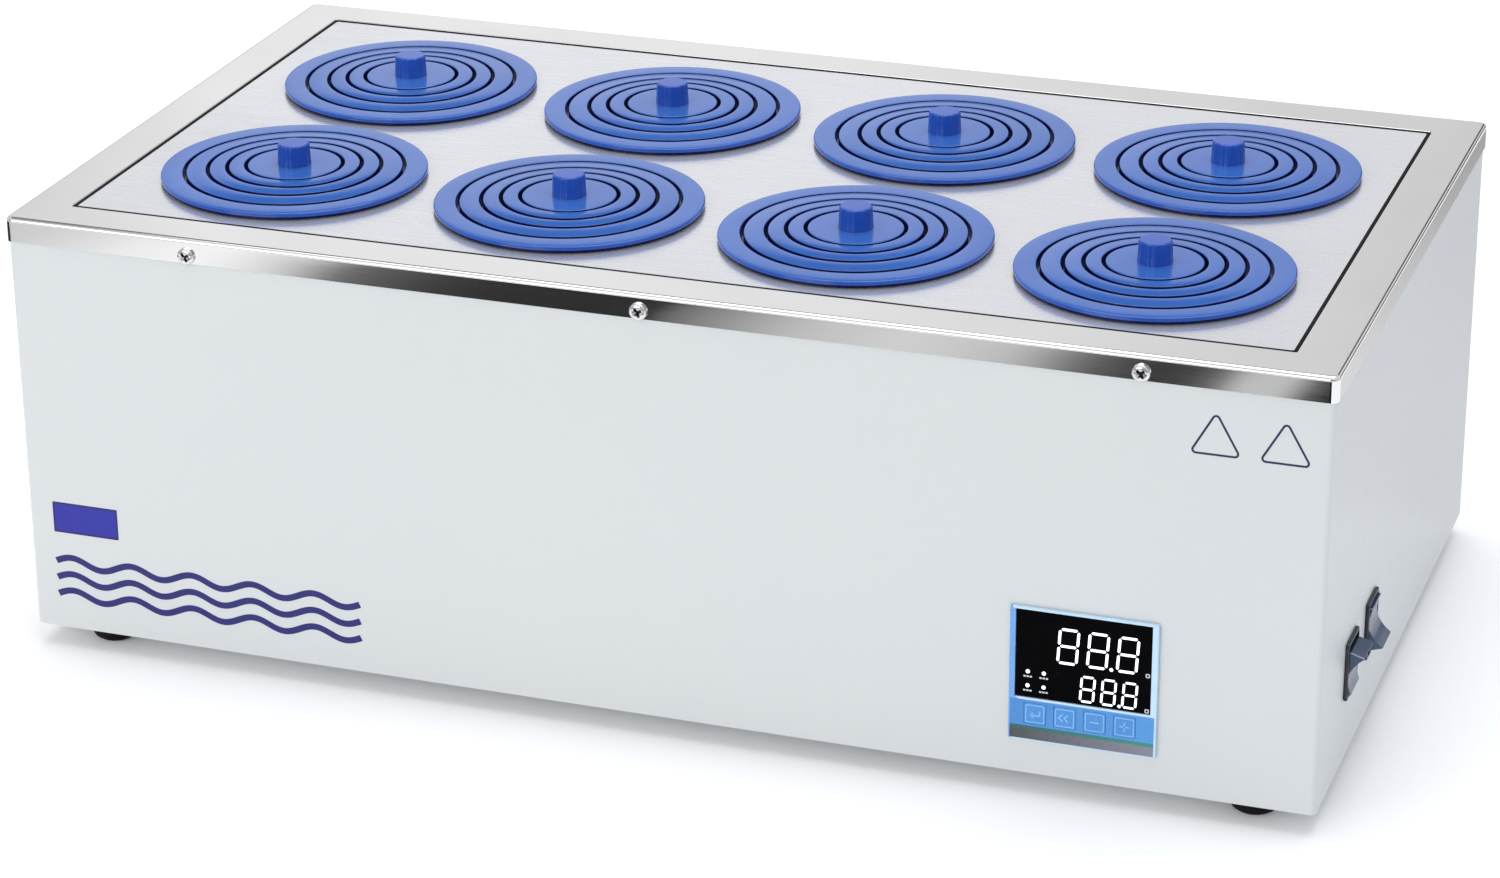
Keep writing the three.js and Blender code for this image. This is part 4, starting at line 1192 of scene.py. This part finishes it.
inlet_box, valve_box, back_box = Box("power_inlet"), Box("drain_valve"), Box("rear_panel")
INLET = Vector((inlet_box.centre[0], back_box.high.y, inlet_box.centre[2]))
VENTS_X = (-44.34, 85.66)  # middles of the two vent banks, millimetres
VENTS_Z = 30 * MM + CASE_FLOOR
VENT_ROWS = 6
VENT_PITCH = 10
VENT_HALF = (35, 1.75)  # half width and half height, millimetres
PANEL_CUT = 5  # reach of the tools through the rear panel, millimetres
LIP_SCREW_INSET = 7 * MM
LIP_SCREW_HEIGHTS = (16, 108, 196)
# The inlet, in millimetres: half sizes, how far each level is set in or out and its height
INLET_BODY = (14, 10.5)
INLET_FLANGE = (25, 11.5)
INLET_RIMS = ((0, 0.3), (0, 2.4), (0.18, 2.82), (0.6, 3))
MOUTH = (12.25, 8.25)
MOUTH_RIMS = ((0.6, 3), (0, 2.4), (0, -17))
BLADES = ((0, -2.5), (-7, 2), (7, 2))  # places of the three blades
BLADE = (1, 2.5)
BLADE_RIMS = ((0, -18), (0, -6), (0.6, -5))
SPOUT_DROP = 32 * MM
DRAIN = Vector((valve_box.centre[0], back_box.high.y, valve_box.low.z + SPOUT_DROP))
DRAIN_TOP = valve_box.low.y + 12 * MM  # Y of the pipe below the tank
VALVE_REACH = 24 * MM  # panel face to the middle of the valve
SPOUT_REACH = 22 * MM
PIPE_R = 8 * MM
ELBOW_R = 6.4 * MM
BARB_COUNT = 4
BALL = ((0, -8), (9, -7), (10.6, -3), (11, 0), (10.6, 3), (9, 7), (0, 8))  # (radius, z), millimetres
BOSS = ((0, 0), (7, 0), (7, 9.6), (6.2, 10.9), (0, 10.9))
LEVER_HALF = 25 * MM


def hex_nut(radius, low, high):
    """A nut along Z with chamfered corners, sizes in millimetres."""
    radius, low, high = mm((radius, low, high))[0]
    edge = 0.12 * (high - low)
    rims = ((0.9, low), (1, low + edge), (1, high - edge), (0.9, high))
    return loft([circle(radius * share, z, 6) for share, z in rims])


def to_rear(part, place):
    """A part built along +Z is laid down along +Y, its origin at place."""
    return moved(turned(part, -PI / 2, "X"), place)


def add_rear_panel():
    part = block(back_box.low, back_box.high, 0.3 * MM, 2)
    obj = piece("rear_sheet", part, PAINT, "rear_panel", 30)
    deep = PANEL_CUT
    tools = [
        to_rear(slab(14.2, 10.7, 3.5, -deep, deep, 0.1), INLET),
        to_rear(bore(9 * MM, -deep * MM, deep * MM, 40), DRAIN),
    ]
    for bank in VENTS_X:
        for row in range(VENT_ROWS):
            place = (bank * MM, back_box.high.y, VENTS_Z + (row * VENT_PITCH + VENT_HALF[1]) * MM)
            tools.append(to_rear(slab(*VENT_HALF, 1.7, -deep, deep, 0.1), place))
    cut(obj, merge(*tools))


def add_rear_screws():
    count = 0
    for side in (-1, 1):
        for height in LIP_SCREW_HEIGHTS:
            count += 1
            x = MIDDLE.x + side * (RIGHT_X - MIDDLE.x - LIP_SCREW_INSET)
            place = (x, CASE.high.y, CASE_FLOOR + height * MM)
            add_screw(f"lip_screw_{count}", place, (0, 1, 0), LIP_SCREW, 0.4 + count * 0.7)
    for i in FRAME_SCREWS:
        x, _, z = Box(f"frame_screw_{i}").centre
        add_screw(f"rear_screw_{i}", (x, TRIM.high.y, z), (0, 1, 0), FRAME_SCREW, i * 0.9)


def mouth_loop(half_x, half_y, chamfer, radius, z, steps=6):
    """The outline of an appliance inlet: two cut corners above, two rounded corners below."""
    loop = rounded_rect(half_x, half_y, radius, z, steps)
    for i in range(steps + 1):
        start, end = Vector((half_x, half_y - chamfer, z)), Vector((half_x - chamfer, half_y, z))
        right = start.lerp(end, i / steps)
        loop[2 * (steps + 1) + i] = Vector((-right.x, -right.y, z))
        loop[4 * (steps + 1) - 1 - i] = Vector((right.x, -right.y, z))
    return loop


def add_power_inlet():
    """Built along +Z with its upper side at -Y, then laid towards the rear."""

    def grown(size, grow):
        return [(half + grow) * MM for half in size]

    loops = [rounded_rect(*grown(INLET_BODY, 0), 3.5 * MM, z) for z in (-24 * MM, 0.3 * MM)]
    loops += [rounded_rect(*grown(INLET_FLANGE, -inset), 4 * MM, z * MM) for inset, z in INLET_RIMS]
    loops += [mouth_loop(*grown(MOUTH, grow), 4.6 * MM, 1.2 * MM, z * MM) for grow, z in MOUTH_RIMS]
    shell = to_rear(loft(loops), INLET)
    piece("inlet_shell", shell, BLACK, "power_inlet")
    blades = []
    for x, y in BLADES:
        tip = [rounded_rect(*grown(BLADE, -inset), 0.3 * MM, z * MM, 2, (x * MM, y * MM))
               for inset, z in BLADE_RIMS]
        blades.append(to_rear(loft(tip), INLET))
    piece("inlet_blades", merge(*blades), SCREW_STEEL)
    for i, side in enumerate((-1, 1)):
        place = INLET + Vector((side * 20 * MM, 3 * MM, 0))
        add_screw(f"inlet_screw_{i + 1}", place, (0, 1, 0), INLET_SCREW, 0.5 + i)


def add_drain_valve():
    top = Vector((DRAIN.x, DRAIN_TOP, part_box("tank")[0].z - 0.3 * MM))
    middle = DRAIN + Vector((0, VALVE_REACH, 0))
    spout = middle + Vector((0, SPOUT_REACH, 0))
    barbs = [(0, -12), (6.9, -12), (6.9, -14.4), (6, -15)]
    for z in range(-16, -16 - 4 * BARB_COUNT, -4):
        barbs += [(6.95, z), (6.95, z - 0.5), (5.7, z - 3.9)]
    barbs += [(5.6, -32), (4.8, -32), (4.8, -16), (0, -16)]
    parts = [
        tube([top, (top.x, top.y, DRAIN.z), middle], PIPE_R, 32, 14 * MM, 10),
        moved(slab(12, 12, 12, -3, 0, 0.4, steps=10), top),
        to_rear(slab(13, 13, 13, 0.3, 1.2, 0.2, steps=10), DRAIN),
        to_rear(hex_nut(13, 1.2, 6.5), DRAIN),
        to_rear(hex_nut(11, -12, -6), middle),
        to_rear(hex_nut(11, 6, 12), middle),
        to_rear(lathe(mm(*BALL), 48), middle),
        moved(lathe(mm(*BOSS), 40), middle),
        tube([middle, spout, spout - Vector((0, 0, 14 * MM))], ELBOW_R, 32, 12 * MM, 10),
        moved(lathe(mm(*barbs), 40), spout),
    ]
    piece("valve_body", merge(*parts), BRASS, "drain_valve", 35)


def add_drain_lever():
    box = Box("drain_handle")
    hub = Vector((DRAIN.x, box.centre[1], box.low.z))
    stem = lathe(mm((0, 0), (5.6, 0), (5.6, 5), (0, 5)), 40)
    plate = slab(25, 6, 5.9, 5, 7.4, 0.4, (LEVER_HALF - 8 * MM, 0))
    lever = merge(*[moved(part, hub) for part in (stem, plate, hex_nut(5.6, 7.4, 8.9))])
    piece("valve_lever", lever, ZINC, "drain_handle", 35, "drain_handle")
    sleeve = slab(18, 7.5, 6.5, 3.5, 9, 2, (38 * MM, 0), 8)
    piece("lever_sleeve", moved(sleeve, hub), LEVER_BLUE, "", 50, "drain_handle")


add_rear_panel()
add_rear_screws()
add_power_inlet()
add_drain_valve()
add_drain_lever()

# --- Tank, rack, heater and probe ---

TANK_RIM = 9 * MM
TANK_WALL = 1 * MM
TANK_BEND = 8 * MM
TANK_CORNER = 19 * MM
TANK_STEPS = 6
RACK_SHEET = 1.2 * MM
RACK_BEND = 3 * MM
RACK_SLOTS = ((-71, 57), (57, 43))  # middle and half length of the two rows, millimetres
SLOT_COUNT = 26
SLOT_PITCH = 22.5  # millimetres
HEATER_R = 5 * MM
HEATER_LEG = 9 * MM
HEATER_SPAN = 32 * MM
PROBE_R = 3 * MM
TANK_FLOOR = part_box("tank")[0].z + MM


def add_tank():
    box = Box("tank")
    low, high = box.low, box.high
    rim, wall, bend = TANK_RIM, TANK_WALL, TANK_BEND
    outer, inner = [], []
    for skin, corner, floor, levels in ((rim, TANK_CORNER, low.z, outer),
                                        (rim + wall, TANK_CORNER - wall, low.z + wall, inner)):
        for angle in quarter(TANK_STEPS):
            sunk = bend * (1 - math.sin(angle))
            levels.append((skin + sunk, corner - sunk * 0.8, floor + bend * (1 - math.cos(angle))))
    lip = [
        (rim, TANK_CORNER, high.z - wall - 2 * MM), (rim - 2 * MM, 17 * MM, high.z - wall),
        (0, 8 * MM, high.z - wall), (0, 8 * MM, high.z), (rim - 1.5 * MM, 17.5 * MM, high.z),
        (rim + wall, 18 * MM, high.z - 2.5 * MM),
    ]
    loops = [rounded_rect(box.half_x - inset, box.half_y - inset, corner, z, 10, box.centre)
             for inset, corner, z in outer + lip + inner[::-1]]
    obj = piece("tank_shell", loft(loops), TANK_STEEL, "tank", 50)
    cut(obj, moved(bore(6 * MM, -5 * MM, 5 * MM, 32), (DRAIN.x, DRAIN_TOP, low.z)))


def add_rack():
    box = Box("rack")
    low, high, half_y = box.low, box.high, box.half_y
    middle_x, middle_y, _ = box.centre
    sides = []
    for inset in (0, RACK_SHEET):
        corner, y, z = RACK_BEND - inset, half_y - RACK_BEND, high.z - RACK_BEND
        arc = [(y + corner * math.cos(angle), z + corner * math.sin(angle)) for angle in quarter(5)]
        foot = half_y - inset
        sides.append([(foot, low.z)] + arc + [(-y, z) for y, z in arc[::-1]] + [(-foot, low.z)])
    section = sides[0] + sides[1][::-1]
    part = strip_solid([[Vector((x, middle_y + y, z)) for y, z in section] for x in (low.x, high.x)])
    obj = piece("rack_plate", part, TANK_STEEL, "rack", 35, "rack")
    probe = Box("temperature_probe").middle
    tools = [block((probe.x - 24 * MM, probe.y - 22 * MM, low.z - MM), high + Vector((MM, MM, MM)))]
    for row, half_slot in RACK_SLOTS:
        for i in range(SLOT_COUNT):
            x = middle_x + (i - (SLOT_COUNT - 1) / 2) * SLOT_PITCH * MM
            slot = slab(4.5, half_slot, 4.4, -4, 4, 0.1, (x, middle_y + row * MM), 4)
            tools.append(moved(slot, (0, 0, high.z)))
    cut(obj, merge(*tools))


def add_heater():
    box = Box("heater")
    middle_y = box.centre[1]
    leg, turn = box.high.x - HEATER_LEG, box.low.x + HEATER_R
    run = box.high.z - HEATER_R
    half = [(leg, box.low.z), (leg, run), (turn, run)]
    flat = [(x, -1, z) for x, z in half] + [(x, 1, z) for x, z in half[::-1]]
    path = [(x, side * HEATER_SPAN + middle_y, z) for x, side, z in flat]
    bends = [radius * MM for radius in (0, 12, 31.9, 31.9, 12, 0)]
    nuts = [moved(hex_nut(9, 0.3, 3), (leg, middle_y + side * HEATER_SPAN, TANK_FLOOR))
            for side in (-1, 1)]
    part = merge(tube(path, HEATER_R, 20, bends, 12), *nuts)
    piece("heater_loop", part, HEATER_STEEL, "heater")


def add_probe():
    box = Box("temperature_probe")
    x, y, _ = box.middle
    top = box.high.z - PROBE_R
    tip = [(PROBE_R * math.cos(angle), top + PROBE_R * math.sin(angle)) for angle in quarter(6)]
    sheath = lathe([(0, box.low.z), (PROBE_R, box.low.z)] + tip, 24, (x, y))
    nut = moved(hex_nut(7.5, 0.3, 5), (x, y, TANK_FLOOR))
    gland = moved(lathe(mm((0, 0), (5, 0), (4.2, 3), (0, 3)), 24), (x, y, TANK_FLOOR + 5 * MM))
    piece("probe_sheath", merge(sheath, nut, gland), HEATER_STEEL, "temperature_probe")


add_tank()
add_rack()
add_heater()
add_probe()

# --- CAD nodes that keep their shape ---

CARRIED = {
    "base_plate": ZINC, "tank_insulation": WOOL, "controller_housing": BLACK, "control_board": BOARD,
    "power_board": BOARD, "heater_relay": RELAY, "heater_lead": SILICONE, "probe_lead": PROBE_GREY,
}

for node_name, node_material in CARRIED.items():
    node_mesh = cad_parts[node_name].data
    node_mesh.materials.clear()
    node_mesh.materials.append(node_material)

# --- Floor, light and surroundings ---

FRONT_CARD = (
    (-0.9, 0.6), (-0.65, 0.77), (-0.6, 0.95), (-0.573, 1.1), (-0.522, 1.17), (-0.5, 1.06),
    (-0.478, 0.94), (-0.459, 0.79), (-0.438, 0.46), (-0.42, 0.17), (-0.396, 0.12),
    (-0.36, 0.06), (-0.311, 0.035), (-0.2, 0.03), (-0.193, 0.16), (-0.105, 0.64), (-0.04, 0.79),
    (0.0, 0.72), (0.033, 0.62), (0.052, 0.46), (0.072, 0.25), (0.091, 0.12), (0.127, 0.04),
    (0.15, 0.06), (0.167, 0.17), (0.184, 0.66), (0.208, 0.68), (0.226, 0.11), (0.24, 0.02),
    (0.5, 0.02),
)
LEFT_CARD = ((-1.3, 0.03), (-0.82, 0.03))
RIGHT_CARD = ((0.2, 0.8), (0.4, 0.78), (0.6, 0.6), (0.73, 0.48), (0.9, 0.4))
CARD_HEIGHT = 0.002
FLOOR_REACH = 8

# Glow in the mirrored sky, from the horizon behind (0) over the zenith (0.5) to the one in front (1)
SKY_BANDS = (
    (0.0, 0.15), (0.035, 0.15), (0.06, 1.1), (0.2, 1.1), (0.3, 0.95), (0.8, 0.95), (0.84, 0.6),
    (0.95, 0.6), (0.965, 0.3), (1.0, 0.3),
)
# Its strength from the left (-1) to the right (1)
SIDE_BANDS = (
    (-1.0, 0.8), (-0.6, 0.7), (-0.48, 0.68), (-0.455, 0.76), (-0.425, 0.9), (-0.36, 0.89), (-0.3, 0.86),
    (-0.15, 0.67), (-0.08, 0.62), (0.05, 0.62), (0.3, 0.75), (1.0, 0.8),
)
# Dark flags in the mirrored sky: stops from left to right, then from behind to the front
DARK_PATCHES = (
    (((-0.5, 0.0), (-0.48, 1.0), (-0.12, 1.0), (-0.08, 0.0)),
     ((0.148, 0.0), (0.163, 1.0), (0.25, 1.0), (0.28, 0.6), (0.54, 0.6), (0.56, 0.0))),
    (((0.0, 0.0), (0.03, 1.0), (0.2, 1.0), (0.24, 0.0)),
     ((0.0, 0.9), (0.15, 0.9), (0.16, 0.0), (1.0, 0.0))),
)
# Colour of the light on dull surfaces from the left to the right
EVEN_LIGHT = (
    (-1.0, (0.77, 0.782, 0.8)), (0.0, (0.77, 0.782, 0.8)), (1.0, (0.5, 0.535, 0.63)),
)


def stage_plane(name, low, high, z, material):
    mesh = bpy.data.meshes.new(name)
    corners = [(low[0], low[1], z), (high[0], low[1], z), (high[0], high[1], z), (low[0], high[1], z)]
    mesh.from_pydata(corners, [], [(0, 1, 2, 3)])
    mesh.materials.append(material)
    obj = add_object(name, mesh)
    return obj


def add_floor():
    look = Look("floor", (0.93, 0.93, 0.935), 0.7, Emission_Strength=0.1, Specular_IOR_Level=0.1)
    look.dress(((40,), 0.65, 0.75))
    stage_plane("floor", (-FLOOR_REACH, -FLOOR_REACH), (FLOOR_REACH, FLOOR_REACH), 0, look.material)


def mirror_card(name, low, high, axis, stops):
    """A glowing card on the floor that only mirrored rays see, shaded along axis 0 or 1."""
    look = Look(name, (0, 0, 0), 1.0, Specular_IOR_Level=0.0, Emission_Strength=1.0)
    place = look.math("SUBTRACT", look.axes()[axis], MIDDLE[axis])
    look.set({"Emission Color": look.ramp(place, stops, low[axis], high[axis])})
    corners = [(MIDDLE.x + x, MIDDLE.y + y) for x, y in (low, high)]
    card = stage_plane(name, *corners, CARD_HEIGHT, look.material)
    card.visible_camera = card.visible_diffuse = card.visible_shadow = card.visible_transmission = False


def add_light(name, place, target, size, power):
    data = bpy.data.lights.new(name, "AREA")
    data.shape = "RECTANGLE"
    data.size, data.size_y = size
    data.energy = power
    place, target = Vector(place), Vector(target)
    turn = (place - target).to_track_quat("Z", "Y").to_matrix().to_4x4()
    add_object(name, data).matrix_world = Matrix.Translation(place) @ turn


def add_world():
    """Soft light for dull surfaces, a banded studio for mirrored rays."""
    world = bpy.data.worlds.new("studio")
    sky = Nodes(world)
    ray = sky.axes("Generated")
    over = sky.math("DIVIDE", sky.math("ARCTAN2", ray["Z"], ray["Y"]), PI)
    even = sky.tree.nodes["Background"]
    sky.feed(even, {"Color": sky.ramp(ray["X"], EVEN_LIGHT, -1, 1)})
    strength = sky.ramp(ray["X"], SIDE_BANDS, -1, 1)
    for across, along in DARK_PATCHES:
        covered = sky.math("MULTIPLY", sky.ramp(ray["X"], across, -1, 1), sky.ramp(over, along, 0, 1))
        kept = sky.add("MapRange", {"Value": covered, "To Min": 1.0, "To Max": 0.04})
        strength = sky.math("MULTIPLY", strength, kept)
    banded = sky.add("Background", {"Color": sky.ramp(over, SKY_BANDS, 0, 1), "Strength": strength})
    glossy = sky.add("LightPath", {}, "Is Glossy Ray")
    mixed = sky.add("MixShader", {"Fac": glossy, 1: even.outputs["Background"], 2: banded})
    sky.feed(sky.tree.nodes["World Output"], {"Surface": mixed})
    bpy.context.scene.world = world


add_floor()
mirror_card("front_card", (-0.9, -0.98), (0.5, -0.56), 0, FRONT_CARD)
mirror_card("left_card", (-1.3, -0.55), (-0.82, 0.1), 0, LEFT_CARD)
mirror_card("right_card", (0.36, 0.2), (0.62, 0.9), 1, RIGHT_CARD)
add_world()
add_light("top_box", (0.1, 0.2, 2.6), (0, 0, 0.1), (2.6, 2.0), 36)
add_light("front_box", (-0.8, -2.4, 1.2), (0, -0.1, 0.15), (1.8, 1.2), 15)

bpy.context.scene.view_settings.view_transform = "Standard"
